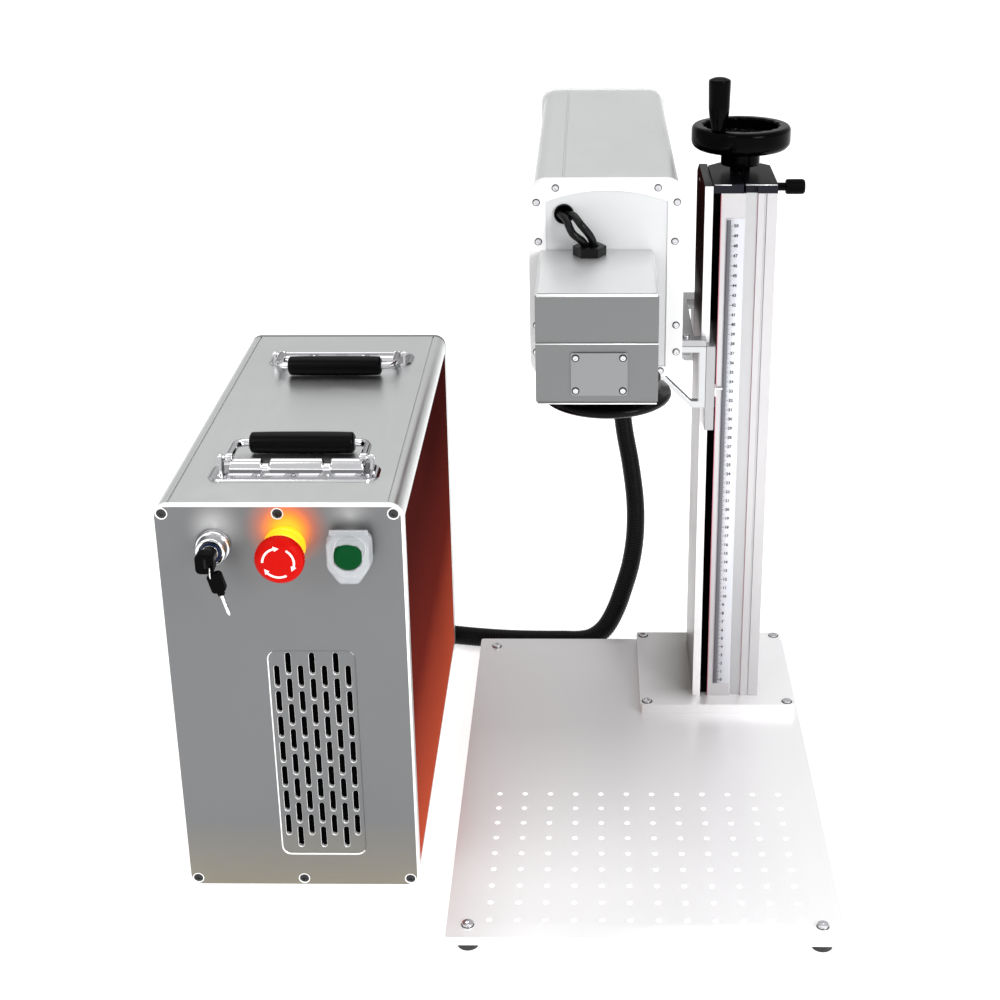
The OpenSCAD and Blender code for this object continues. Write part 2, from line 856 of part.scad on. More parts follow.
// The two blocks that close the column, each with the ball bearing that it holds
module end_blocks() {
    w = inner_x - slot_x;
    color("darkgray") for (z = [column_z, upper_block_z]) difference() {
        upper = z > column_z;
        translate([slot_x, inner_y + block_gap, z]) cube([w, inner_d - 2 * block_gap, end_block_h]);
        for (side = [-1, 1])
            translate([screw_x, screw_y + side * rod_offset, upper ? z - cut : z + end_block_h / 4])
                cylinder(d = rod_d, h = end_block_h * 3 / 4 + cut);
        translate([screw_x, screw_y, z - cut])
            cylinder(d = journal_d + 2 * block_gap, h = end_block_h + 2 * cut);
        translate([screw_x, screw_y, upper ? z - cut : z + end_block_h - bearing_h])
            cylinder(d = bearing_d, h = bearing_h + cut);
    }
    color("silver") for (z = [lower_block_top - bearing_h, upper_block_z])
        translate([screw_x, screw_y, z + running_fit]) difference() {
            cylinder(r = bearing_d / 2 - running_fit, h = bearing_h - 2 * running_fit);
            translate([0, 0, -cut]) cylinder(r = journal_d / 2 + running_fit, h = bearing_h + 2 * cut);
        }
}

module handwheel() {
    lobe_r = wheel_d / 8;
    lobe_at = wheel_d / 2 - wheel_rim_t;
    color("black") {
        translate([screw_x, screw_y, 0]) difference() {
            union() {
                translate([0, 0, rim_z]) cylinder(d = wheel_d, h = wheel_rim_h);
                translate([0, 0, boss_z]) cylinder(d = wheel_boss_d, h = wheel_rim_rise + wheel_web_t);
                translate([0, 0, cap_top + block_gap]) cylinder(d = wheel_neck_d, h = wheel_neck_h);
            }
            translate([0, 0, rim_z + wheel_web_t]) cylinder(r = lobe_at, h = wheel_rim_h);
            for (k = [0:wheel_lobes - 1]) rotate(grip_angle + (k + 0.5) * 360 / wheel_lobes)
                translate([lobe_at - lobe_r / 3, 0, rim_z - cut])
                    cylinder(r = lobe_r, h = wheel_rim_h + 2 * cut);
            translate([0, 0, cap_top]) cylinder(d = journal_d, h = wheel_neck_h + wheel_web_t);
        }
        translate([grip_x, grip_y, rim_top - wheel_rim_h / 2])
            cylinder(d = grip_pin_d, h = wheel_rim_h / 2 + grip_h - grip_d / 2);
    }
}

module lead_screw() {
    screw_head = upper_block_z - block_gap;
    foot_z = lower_block_top - end_block_h / 2;
    color("silver") translate([screw_x, screw_y, 0]) {
        translate([0, 0, lower_block_top - running_fit])
            cylinder(d = screw_d, h = screw_head - lower_block_top);
        translate([0, 0, foot_z]) cylinder(d = journal_d, h = boss_z + wheel_web_t - foot_z);
    }
}

module handwheel_grip() {
    waist = grip_d * 0.36;
    outline = [
        [grip_pin_d / 2 + running_fit, 0], [waist, 0], [waist, grip_h / 10], [grip_d / 2, grip_h / 3],
        [grip_d / 2, grip_h - grip_d / 5], [grip_d / 3, grip_h], [0, grip_h], [0,
            grip_h - grip_d / 2 + block_gap],
        [grip_pin_d / 2 + running_fit, grip_h - grip_d / 2 + block_gap]
    ];
    color("black") translate([grip_x, grip_y, rim_top + grip_gap]) rotate_extrude() polygon(outline);
}

module lock_knob() {
    flutes = 18;
    color("#222226") {
        bar_x(column_right - lock_thread_l, lock_y, lock_z, lock_thread_d, lock_thread_l + lock_stem_l);
        bar_x(column_right + grip_gap, lock_y, lock_z, lock_stem_d, lock_stem_l);
        difference() {
            bar_x(column_right + lock_stem_l, lock_y, lock_z, lock_knob_d, lock_knob_l);
            for (k = [0:flutes - 1])
                bar_x(column_right + lock_stem_l + lock_knob_l / 8,
                    lock_y + lock_knob_d / 2 * cos(360 * k / flutes),
                    lock_z + lock_knob_d / 2 * sin(360 * k / flutes), cut, lock_knob_l * 3 / 4);
        }
    }
}

module carriage() {
    color("gainsboro") difference() {
        union() {
            translate([web_x, arm_front, carriage_z]) cube([web_t, arm_back - arm_front, carriage_h]);
            for (y = [arm_front, column_back + arm_gap])
                translate([arm_x, y, carriage_z]) cube([arm_t, arm_reach - arm_gap, carriage_h]);
            translate([core_x, core_y, core_z]) cube([core_end - core_x, core_d, core_h]);
        }
        translate([screw_x, screw_y, core_z - cut]) cylinder(d = nut_d, h = core_h + 2 * cut);
        for (side = [-1, 1]) translate([screw_x, screw_y + side * rod_offset, 0]) {
            translate([0, 0, core_z - cut]) cylinder(r = rod_d / 2 + block_gap, h = core_h + 2 * cut);
            for (z = [core_z - cut, core_top - bush_l]) translate([0, 0, z])
                cylinder(d = bush_d, h = bush_l + cut);
        }
    }
}

module rod_bushes() {
    color("goldenrod") for (side = [-1, 1], z = [core_z, core_top - bush_l])
        translate([screw_x, screw_y + side * rod_offset, z]) difference() {
            cylinder(d = bush_d, h = bush_l);
            translate([0, 0, -cut]) cylinder(r = rod_d / 2 + running_fit, h = bush_l + 2 * cut);
        }
}

module lead_nut() {
    color("darkgoldenrod") translate([screw_x, screw_y, core_top - nut_l]) difference() {
        union() {
            cylinder(d = nut_d, h = nut_l);
            translate([0, 0, nut_l]) cylinder(d = nut_flange_d, h = nut_flange_t);
        }
        translate([0, 0, -cut]) cylinder(r = screw_d / 2 + running_fit, h = nut_l + nut_flange_t + 2 * cut);
    }
}

module ruler_pointer() {
    color("white") {
        translate([arm_x + arm_t, arm_front, carriage_z + pointer_rise])
            cube([pointer_t, arm_reach - 2 * ruler_t - arm_gap, pointer_h]);
        translate([arm_x + arm_t, column_y - ruler_t - arm_gap - pointer_t,
            carriage_z + pointer_rise + pointer_h / 3])
            cube([pointer_w, pointer_t, pointer_t]);
    }
}

module head_bracket() {
    outline = [
        [arm_x - bracket_w, bracket_front], [arm_x, bracket_front], [arm_x, front_tongue],
        [bracket_mouth, front_tongue], [bracket_mouth, back_tongue], [arm_x, back_tongue],
        [arm_x, bracket_back], [arm_x - bracket_w, bracket_back]
    ];
    color("gainsboro") translate([0, 0, bracket_z]) linear_extrude(bracket_t) polygon(outline);
}

module bracket_gussets() {
    foot_w = gusset_w - gusset_h;
    outer = [
        [0, 0], [-gusset_w, 0], [-foot_w, -gusset_h], [0, -gusset_h]
    ];
    inner_left = gusset_w - gusset_bar - gusset_slope;
    inner_foot = foot_w + gusset_foot - gusset_slope;
    inner = [
        [-gusset_post, -gusset_bar], [-inner_left, -gusset_bar],
        [-inner_foot, gusset_foot - gusset_h], [-gusset_post, gusset_foot - gusset_h]
    ];
    color("silver") for (y = [arm_front, arm_back - gusset_t])
        along_y(y, gusset_t) translate([arm_x, bracket_z]) difference() {
            polygon(outer);
            polygon(inner);
        }
}

// Outline of a head cap in X and Z
module cap_outline() {
    translate([head_mid - head_cap_w / 2, head_z]) round_rect(head_cap_w, head_cap_h, head_cap_r);
}

module head_shell() {
    groove_x = head_mid - head_w * 0.3;
    color("lightgray") difference() {
        along_y(shell_y, shell_l) difference() {
            translate([head_mid - head_w / 2, head_z]) round_rect(head_w, head_h, head_r);
            translate([head_mid - head_w / 2 + head_wall, head_z + head_wall])
                round_rect(head_w - 2 * head_wall, head_h - 2 * head_wall, head_r - head_wall);
        }
        translate([groove_x, shell_y - cut, head_z + head_h - top_groove_w])
            cube([fine_groove_w, shell_l + 2 * cut, top_groove_w + cut]);
        for (x = [head_mid - head_w / 2 - cut, head_mid + head_w / 2 - head_panel_t])
            translate([x, shell_y + head_panel_margin, head_z + head_panel_margin])
                cube([head_panel_t + cut, shell_l - 2 * head_panel_margin, head_h - 2 * head_panel_margin]);
    }
}

module head_side_panels() {
    color("firebrick") for (x = [head_mid - head_w / 2, head_mid + head_w / 2 - head_panel_t])
        translate([x, shell_y + head_panel_margin, head_z + head_panel_margin])
            cube([head_panel_t, shell_l - 2 * head_panel_margin, head_h - 2 * head_panel_margin]);
}

module head_front_cap() {
    arch_top = head_z + head_cap_h - head_cap_lip * 2.7;
    color("white") difference() {
        along_y(head_front, head_cap_t) cap_outline();
        along_y(head_front - cut, head_inset_t + cut) intersection() {
            translate([head_mid - head_inset_w / 2, head_z + head_cap_lip * 3])
                square([head_inset_w, head_cap_h]);
            translate([head_mid, arch_top - head_arch_r]) circle(head_arch_r, $fn = 4 * fine);
        }
        bar_y(head_mid - cable_hole_x, head_front - cut, head_z + cable_hole_z, cable_hole_d,
            head_cap_t + 2 * cut);
        bar_y(beam_x, head_front - cut, beam_z, beam_port_d, head_cap_t + 2 * cut);
        for (p = cap_spots) bar_y(p[0], head_front - cut, p[1], small_screw_d / 2, head_cap_t + 2 * cut,
            $fn = fine);
    }
}

module head_rear_cap() {
    color("white") difference() {
        along_y(head_back - head_rear_t, head_rear_t) cap_outline();
        bar_y(head_mid, head_back - head_rear_t - cut, gland_z, hose_bore, head_rear_t + 2 * cut);
        for (p = cap_spots)
            bar_y(p[0], head_back - head_rear_t - cut, p[1], small_screw_d / 2, head_rear_t + 2 * cut,
                $fn = fine);
    }
}

module head_screws() {
    spots = [
        [bracket_mouth - small_screw_d * 1.5, bracket_front + small_screw_d * 2.5],
        [bracket_mouth - small_screw_d * 1.5, bracket_back - small_screw_d * 2.5]
    ];
    color("silver") {
        for (p = cap_spots) {
            translate([p[0], head_front, p[1]]) rotate([90, 0, 0])
                cap_screw(small_screw_d, small_screw_h, small_screw_d / 2, head_cap_t);
            translate([p[0], head_back, p[1]]) rotate([-90, 0, 0])
                cap_screw(small_screw_d, small_screw_h, small_screw_d / 2, head_rear_t);
        }
        for (p = spots) translate([p[0], p[1], head_z])
            cylinder(d = small_screw_d * 1.4, h = small_screw_h, $fn = fine);
        for (x = [-1, 1], z = [-1, 1])
            translate([beam_x + lens_ring_d * 0.085 + x * (access_w / 2 - small_screw_d), scan_y - access_t,
                    scan_z + scan_seam / 2 + z * (access_h / 2 - small_screw_d)])
                rotate([90, 0, 0]) cylinder(d = small_screw_d, h = small_screw_h / 2, $fn = fine);
    }
}

module beam_isolator() {
    box_y = head_front + head_cap_t + expander_l;
    bench_x = beam_x - bench_w / 2;
    color("dimgray") difference() {
        union() {
            translate([beam_x - isolator_w / 2, box_y, beam_z - isolator_w / 2])
                cube([isolator_w, isolator_l, isolator_w]);
            bar_y(beam_x, head_front + head_cap_t, beam_z, expander_d, expander_l);
            translate([bench_x, box_y, head_z + head_wall])
                cube([bench_w, isolator_l, beam_z - isolator_w / 2 - head_z - head_wall]);
        }
        bar_y(beam_x, head_front, beam_z, beam_port_d, head_cap_t + expander_l + isolator_l / 2);
    }
}

// Outline of the scan head in X and Z between two heights, with bevelled corners
module scan_outline(low, high, bevel_low, bevel_high) {
    polygon([
        [scan_x + bevel_low, low], [scan_x + scan_w - bevel_low, low], [scan_x + scan_w, low + bevel_low],
        [scan_x + scan_w, high - bevel_high], [scan_x + scan_w - bevel_high, high],
        [scan_x + bevel_high, high], [scan_x, high - bevel_high], [scan_x, low + bevel_low]
    ]);
}

module scan_housing() {
    color("silver") difference() {
        along_y(scan_y, scan_l) scan_outline(scan_z, seam_z, scan_bevel, web_gap);
        translate([scan_x + scan_wall, scan_y + scan_wall, scan_z + scan_wall])
            cube([scan_w - 2 * scan_wall, scan_l - 2 * scan_wall, scan_h]);
        translate([lens_x, lens_y, scan_z - cut]) cylinder(d = lens_thread_d, h = scan_wall + 2 * cut);
        bar_y(beam_x, head_front - scan_wall - cut, beam_z, beam_port_d, scan_wall + 2 * cut);
    }
}

module scan_cover() {
    color("silver") {
        difference() {
            along_y(scan_y, scan_l) scan_outline(seam_z, scan_top, web_gap, scan_bevel);
            translate([scan_x + scan_wall, scan_y + scan_wall, seam_z - cut])
                cube([scan_w - 2 * scan_wall, scan_l - 2 * scan_wall, scan_top - seam_z - scan_wall + cut]);
            translate([scan_gland_x, scan_gland_y, scan_top - scan_wall - cut])
                cylinder(d = 2.3 * scan_cable_d, h = scan_wall + 2 * cut);
        }
        translate([beam_x + lens_ring_d * 0.085 - access_w / 2, scan_y - access_t,
            scan_z + scan_seam / 2 - access_h / 2])
            cube([access_w, access_t, access_h]);
    }
}

module galvo_motors() {
    back = head_front - scan_wall;
    nose = mirror_h / 2 + mirror_shaft_d;
    color("dimgray") {
        difference() {
            union() {
                translate([beam_x - galvo_d * 0.6, lens_y - galvo_d * 0.6, mount_z])
                    cube([mirror_gap + galvo_d * 1.2, back - lens_y + galvo_d * 0.6, mount_t]);
                translate([lens_x - galvo_d * 0.6, lens_y + nose + mount_t, beam_z - galvo_d * 0.6])
                    cube([galvo_d * 1.2, galvo_l - mount_t, mount_z - beam_z + galvo_d * 0.6 + cut]);
            }
            bar_y(lens_x, lens_y + nose - cut, beam_z, galvo_d + 2 * running_fit, galvo_l + 2 * cut);
            translate([beam_x, lens_y, mount_z - cut])
                cylinder(r = galvo_d / 2 + running_fit, h = mount_t + 2 * cut);
        }
        translate([beam_x, lens_y, mount_z]) difference() {
            cylinder(d = galvo_d, h = galvo_l);
            translate([0, 0, -cut])
                cylinder(r = mirror_shaft_d / 2 + running_fit, h = galvo_l - mount_t + cut);
        }
        difference() {
            bar_y(lens_x, lens_y + nose, beam_z, galvo_d, galvo_l);
            bar_y(lens_x, lens_y + nose - cut, beam_z, mirror_shaft_d + 2 * running_fit,
                galvo_l - mount_t + cut);
        }
    }
}

module lens_barrel() {
    $fn = 96;
    ring_h = lens_h / 5;
    neck_d = lens_d * 6 / 7;
    seat_r = glass_d / 2;
    lip_r = seat_r * 13 / 14;
    color("#1c1c1e") difference() {
        translate([lens_x, lens_y, scan_z - lens_h]) union() {
            cylinder(d = neck_d, h = lens_h);
            cylinder(d1 = lens_d * 13 / 14, d2 = lens_ring_d, h = ring_h);
            translate([0, 0, ring_h]) cylinder(d = lens_ring_d, h = ring_h);
            translate([0, 0, 2 * ring_h]) cylinder(d1 = lens_ring_d, d2 = neck_d, h = ring_h);
            translate([0, 0, lens_h - cut]) cylinder(d = lens_thread_d, h = scan_wall + cut);
        }
        translate([lens_x, lens_y, scan_z - lens_h - cut])
            cylinder(r = lip_r, h = lens_h + scan_wall + 2 * cut);
        translate([lens_x, lens_y, scan_z - lens_h + lens_h / 8])
            cylinder(r = seat_r, h = lens_h + scan_wall);
    }
}

module lens_glass() {
    color("lightcyan") for (z = [lens_h / 8, lens_h / 8 + glass_t + lens_h / 8])
        translate([lens_x, lens_y, scan_z - lens_h + z]) cylinder(d = glass_d, h = glass_t);
}

// Hose gland that points along +Y from y, at x and z
module hose_gland(x, y, z) {
    color("#1c1c1e") difference() {
        union() {
            translate([x, y, z]) rotate([-90, 0, 0]) cylinder(d = gland_d * 1.16, h = gland_l / 3, $fn = 6);
            bar_y(x, y, z, gland_d, gland_l * 0.8);
            bar_y(x, y, z, gland_d * 0.84, gland_l - ear_gap);
        }
        bar_y(x, y - cut, z, hose_bore, gland_l + 2 * cut);
    }
}

module head_glands() {
    hose_gland(head_mid, head_back, gland_z);
    color("#1c1c1e") {
        difference() {
            translate([scan_gland_x, scan_gland_y, scan_top])
                cylinder(d = scan_gland_w * 2 / sqrt(3), h = scan_gland_h, $fn = 6);
            translate([scan_gland_x, scan_gland_y, scan_top - cut])
                cylinder(d = 2.3 * scan_cable_d, h = scan_gland_h + 2 * cut);
        }
        difference() {
            bar_y(head_mid - cable_hole_x, head_front - 1.5 * cut, head_z + cable_hole_z, cable_hole_d,
                head_cap_t);
            bar_y(head_mid - cable_hole_x, head_front - 2 * cut, head_z + cable_hole_z,
                2.3 * scan_cable_d, head_cap_t + 2 * cut);
        }
    }
}

module scan_cables() {
    hole_x = head_mid - cable_hole_x;
    hole_z = head_z + cable_hole_z;
    rise = hole_z - scan_top;
    color("#111111") for (side = [-1, 1]) {
        shift = side * (scan_cable_d / 2 + grip_gap);
        route = [
            [hole_x + shift, head_front + head_cap_t, hole_z],
            [hole_x + shift, head_front, hole_z],
            [hole_x + shift + rise / 6, scan_gland_y + rise * 0.15, hole_z - rise / 40 + shift / 3],
            [(hole_x + scan_gland_x) / 2 + shift, scan_gland_y - rise / 6, hole_z - rise / 4 + shift],
            [scan_gland_x + shift - rise / 12, scan_gland_y - rise / 12,
                scan_top + rise * 0.45 + shift / 2],
            [scan_gland_x + shift, scan_gland_y, scan_top + rise / 5],
            [scan_gland_x + shift, scan_gland_y, scan_top - 2 * scan_wall]
        ];
        solid_tube(sampled(route, 18), scan_cable_d, 8, coil_lean);
    }
}

module x_mirror() {
    color("lightblue") {
        translate([beam_x, lens_y, beam_z + mirror_h / 2])
            cylinder(d = mirror_shaft_d, h = mount_z - beam_z - mirror_h / 2 + galvo_l - mount_t - cut);
        translate([beam_x, lens_y, beam_z]) rotate(45)
            translate([-mirror_w / 2, -mirror_t / 2, -mirror_h / 2])
                cube([mirror_w, mirror_t, mirror_h + mirror_shaft_d / 4]);
    }
}

module y_mirror() {
    nose = mirror_h / 2 + mirror_shaft_d;
    color("lightblue") {
        bar_y(lens_x, lens_y + mirror_h / 2, beam_z, mirror_shaft_d,
            nose - mirror_h / 2 + galvo_l - mount_t - cut);
        translate([lens_x, lens_y, beam_z]) rotate([0, -45, 0])
            translate([-mirror_w / 2, -mirror_h / 2, -mirror_t / 2])
                cube([mirror_w, mirror_h + mirror_shaft_d / 4, mirror_t]);
    }
}

module cabinet_shell() {
    color("lightgray") difference() {
        along_y(shell_front, shell_depth) difference() {
            translate([cabinet_x, cabinet_z]) round_rect(cabinet_w, cabinet_h, cabinet_r);
            difference() {
                translate([cabinet_x + cabinet_wall, cabinet_z + cabinet_wall])
                    round_rect(cabinet_w - 2 * cabinet_wall, cabinet_h - 2 * cabinet_wall,
                        cabinet_r - cabinet_wall);
                for (p = panel_spots) translate(p) circle(boss_r);
            }
            for (p = panel_spots) translate(p) circle(d = panel_screw_d, $fn = fine);
        }
        for (x = [cabinet_x - cut, cabinet_x + cabinet_w - side_panel_t])
            translate([x, cabinet_y + side_panel_margin, cabinet_z + side_panel_margin])
                cube([side_panel_t + cut, cabinet_d - 2 * side_panel_margin,
                    cabinet_h - 2 * side_panel_margin]);
        for (x = [top_groove_inset, cabinet_w - top_groove_inset - top_groove_w])
            translate([cabinet_x + x, shell_front - cut, cabinet_top - top_groove_w])
                cube([top_groove_w, shell_depth + 2 * cut, top_groove_w + cut]);
    }
}

module cabinet_side_panels() {
    color("firebrick") for (x = [cabinet_x, cabinet_x + cabinet_w - side_panel_t])
        translate([x, cabinet_y + side_panel_margin, cabinet_z + side_panel_margin])
            cube([side_panel_t, cabinet_d - 2 * side_panel_margin, cabinet_h - 2 * side_panel_margin]);
}

// Blank end panel of the cabinet from y, with its screw holes sunk from the side given
module end_panel(y, outer) {
    head_y = outer < 0 ? y - cut : y + panel_t - panel_screw_head_h;
    difference() {
        along_y(y, panel_t) translate([cabinet_x, cabinet_z]) round_rect(cabinet_w, cabinet_h, cabinet_r);
        for (p = panel_spots) {
            bar_y(p[0], y - cut, p[1], panel_screw_d, panel_t + 2 * cut, $fn = fine);
            bar_y(p[0], head_y, p[1], panel_screw_head_d, panel_screw_head_h + cut, $fn = fine);
        }
    }
}

module cabinet_front_panel() {
    pitch_x = vent_w / (vent_cols + 0.4);
    pitch_z = vent_h / (vent_rows + 1.5);
    mid_x = cabinet_x + vent_x + vent_w / 2;
    mid_z = cabinet_z + vent_z + vent_h / 2;
    half = (vent_cols - 1) / 2;
    color("darkgray") difference() {
        end_panel(cabinet_y, -1);
        along_y(cabinet_y - cut, vent_t + cut) translate([cabinet_x + vent_x, cabinet_z + vent_z])
            round_rect(vent_w, vent_h, vent_r);
        along_y(cabinet_y - cut, panel_t + 2 * cut) {
            for (i = [-half:half]) {
                n = vent_rows - (abs(i) + half) % 2;
                for (j = [0:n - 1])
                    translate([mid_x + i * pitch_x - vent_slot_w / 2,
                        mid_z + (j - (n - 1) / 2) * pitch_z - vent_slot_h / 2])
                        round_rect(vent_slot_w, vent_slot_h, vent_slot_w * 0.49, $fn = fine);
            }
        }
        for (x = [key_x, estop_x, start_x])
            bar_y(cabinet_x + x, cabinet_y - cut, control_z, control_bore_d, panel_t + 2 * cut);
    }
}

module cabinet_rear_panel() {
    y = cabinet_back - panel_t;
    fan_r = fan_w * 0.46;
    louvre = 8;
    color("darkgray") difference() {
        end_panel(y, 1);
        along_y(y - cut, panel_t + 2 * cut) intersection() {
            translate([cabinet_x + cabinet_w / 2, cabinet_z + fan_z]) circle(fan_r);
            for (k = [0:6])
                translate([cabinet_x + cabinet_w / 2 - fan_r, cabinet_z + fan_z + (k - 3.25) * 2 * louvre])
                    square([2 * fan_r, louvre]);
        }
        along_y(y - cut, panel_t + 2 * cut) translate([cabinet_x + inlet_x, cabinet_z + inlet_z])
            square([inlet_w, inlet_h]);
        bar_y(cabinet_gland_x, y - cut, cabinet_gland_z, hose_bore, panel_t + 2 * cut);
    }
}

// One handle base at the origin of its pivot's middle, its body towards -Y
module handle_base() {
    depth = handle_base_d - pivot_inset;
    drop = pivot_z - cabinet_top;
    ear_x = arm_half + bail_d / 2 + ear_gap;
    ridge_w = 2 * (arm_half - bail_d);
    difference() {
        union() {
            translate([-handle_base_w / 2, -depth, -drop])
                linear_extrude(handle_base_t) round_rect(handle_base_w, handle_base_d, pivot_inset * 0.99);
            for (side = [-1, 1]) translate([side * (ear_x + ear_w / 2) - ear_w / 2, -pivot_inset, -drop])
                cube([ear_w, 2 * pivot_inset, drop + bail_d]);
            translate([-ridge_w / 2, -depth + pivot_inset, -drop])
                cube([ridge_w, depth - pivot_inset, drop * 0.7]);
        }
        bar_x(-ear_x - 2 * ear_w, 0, 0, bail_d * 0.7 + 2 * running_fit, 2 * (ear_x + 2 * ear_w));
    }
}

module handle_bases() {
    color("silver") {
        translate([handle_mid, front_pivot_y, pivot_z]) handle_base();
        translate([handle_mid, rear_pivot_y, pivot_z]) rotate(180) handle_base();
    }
}

// One folding handle, its pivot's middle at the origin and its sleeve towards +Y
module folding_handle() {
    pin_l = bail_d / 2 + ear_gap + ear_w;
    color("silver") {
        for (side = [-1, 1]) {
            bar_y(side * arm_half, 0, 0, bail_d, bail_reach);
            bar_x(side < 0 ? -arm_half - pin_l : arm_half, 0, 0, bail_d * 0.7, pin_l);
            translate([side * arm_half, 0, 0]) sphere(d = bail_d);
            translate([side * arm_half, bail_reach, 0]) sphere(d = bail_d);
        }
        bar_x(-arm_half, bail_reach, 0, bail_d, 2 * arm_half);
    }
    color("#111111") difference() {
        bar_x(-sleeve_l / 2, bail_reach, 0, sleeve_d, sleeve_l);
        bar_x(-sleeve_l, bail_reach, 0, bail_d + 2 * running_fit, 2 * sleeve_l);
    }
}

module front_handle() {
    translate([handle_mid, front_pivot_y, pivot_z]) folding_handle();
}

module rear_handle() {
    translate([handle_mid, rear_pivot_y, pivot_z]) rotate(180) folding_handle();
}

module key_barrel() {
    x = cabinet_x + key_x;
    depth = 40;
    color("silver") difference() {
        union() {
            bar_y(x, cabinet_y - key_collar_l, control_z, key_collar_d, key_collar_l);
            bar_y(x, cabinet_y - key_barrel_l, control_z, key_barrel_d, key_barrel_l);
            bar_y(x, cabinet_y, control_z, control_bore_d, depth);
        }
        bar_y(x, cabinet_y - key_barrel_l - cut, control_z, key_plug_d + 2 * running_fit,
            key_barrel_l + depth / 2);
    }
}

// Bow of a key, its hole at the origin and its blade's end towards +X
module key_bow() {
    difference() {
        translate([-key_hole_end, -key_bow_h / 2]) round_rect(key_bow_l, key_bow_h, key_bow_h / 3);
        circle(d = key_hole_d);
    }
}

module key() {
    x = cabinet_x + key_x;
    front = cabinet_y - key_barrel_l;
    color("#1a1a1a") {
        bar_y(x, front, control_z, key_plug_d, key_barrel_l);
        along_x(x - key_t / 2, key_t) translate([key_hole_y, control_z]) key_bow();
    }
}

module spare_key() {
    x = cabinet_x + key_x;
    ring_z = control_z - key_hole_d / 2 - key_ring_r + (key_bow_h - key_hole_d) / 4;
    hole_z = ring_z - key_ring_r - key_hole_d / 2 + key_wire_d / 2 + ear_gap;
    color("#1a1a1a") {
        translate([x, key_hole_y, ring_z]) rotate([90, 0, 0])
            rotate_extrude() translate([key_ring_r, 0]) circle(d = key_wire_d, $fn = fine);
        along_x(x - key_t / 2, key_t) {
            translate([key_hole_y, hole_z]) rotate(-90) key_bow();
            translate([key_hole_y - key_blade_w / 2, hole_z - key_bow_l + key_hole_end - key_blade_l])
                square([key_blade_w, key_blade_l + key_blade_w / 2]);
        }
    }
}

module estop_collar() {
    x = cabinet_x + estop_x;
    depth = 40;
    color("gold") difference() {
        union() {
            bar_y(x, cabinet_y - estop_collar_l, control_z, estop_collar_d, estop_collar_l);
            bar_y(x, cabinet_y, control_z, control_bore_d, depth);
        }
        bar_y(x, cabinet_y - estop_collar_l - cut, control_z, plunger_d + 2 * running_fit,
            estop_collar_l + depth / 2 + estop_travel);
    }
}

module estop_plunger() {
    x = cabinet_x + estop_x;
    head_back_y = cabinet_y - estop_collar_l - estop_travel - cut;
    color("gray") {
        bar_y(x, head_back_y, control_z, plunger_d, estop_collar_l + estop_travel);
        bar_y(x, head_back_y - estop_head_l / 2, control_z, plunger_d / 2, estop_head_l);
    }
}

module estop_head() {
    x = cabinet_x + estop_x;
    front = cabinet_y - estop_collar_l - estop_travel - cut - estop_head_l;
    r = estop_head_d / 2;
    outline = [
        [0, 0], [r * 0.8, 0], [r, estop_head_l * 0.3], [r, estop_head_l * 0.75],
        [r * 0.9, estop_head_l], [0, estop_head_l]
    ];
    color("red") difference() {
        translate([x, front, control_z]) rotate([-90, 0, 0]) rotate_extrude() polygon(outline);
        bar_y(x, front + estop_head_l / 2 - ear_gap, control_z, plunger_d / 2 + 2 * running_fit,
            estop_head_l);
    }
}

module start_bezel() {
    x = cabinet_x + start_x;
    depth = 35;
    frame_low = control_z - guard_h / 2;
    pin_z = frame_low + guard_h + guard_barrel_d / 2;
    pin_y = cabinet_y - guard_frame_t - guard_barrel_d / 2;
    color("silver") {
        difference() {
            union() {
                bar_y(x, cabinet_y - start_bezel_l, control_z, start_bezel_d, start_bezel_l);
                bar_y(x, cabinet_y, control_z, control_bore_d, depth);
            }
            bar_y(x, cabinet_y - start_bezel_l - cut, control_z, start_d + 2 * ear_gap,
                start_bezel_l / 2 + cut);
            bar_y(x, cabinet_y - start_bezel_l, control_z, plunger_d + 2 * running_fit,
                start_bezel_l + depth / 2);
        }
        difference() {
            union() {
                translate([x - guard_w / 2, cabinet_y - guard_frame_t, frame_low])
                    cube([guard_w, guard_frame_t, guard_h + guard_barrel_d]);
                for (lug_x = [x - guard_w / 2, x + guard_w / 2 - guard_pin_d]) {
                    bar_x(lug_x, pin_y, pin_z, guard_barrel_d, guard_pin_d);
                    translate([lug_x, pin_y, pin_z - guard_barrel_d / 2])
                        cube([guard_pin_d, (guard_barrel_d + guard_frame_t) / 2, guard_barrel_d]);
                }
                bar_x(x - guard_w / 2, pin_y, pin_z, guard_pin_d, guard_w);
            }
            bar_y(x, cabinet_y - guard_frame_t - cut, control_z, start_bezel_d + ear_gap,
                guard_frame_t + 2 * cut);
        }
    }
}

module start_button() {
    x = cabinet_x + start_x;
    face = cabinet_y - start_bezel_l - start_rise;
    color("green") {
        bar_y(x, face, control_z, start_d, start_rise + start_bezel_l / 2 - start_travel - ear_gap);
        bar_y(x, face + start_rise / 2, control_z, plunger_d, start_bezel_l + start_rise);
    }
}

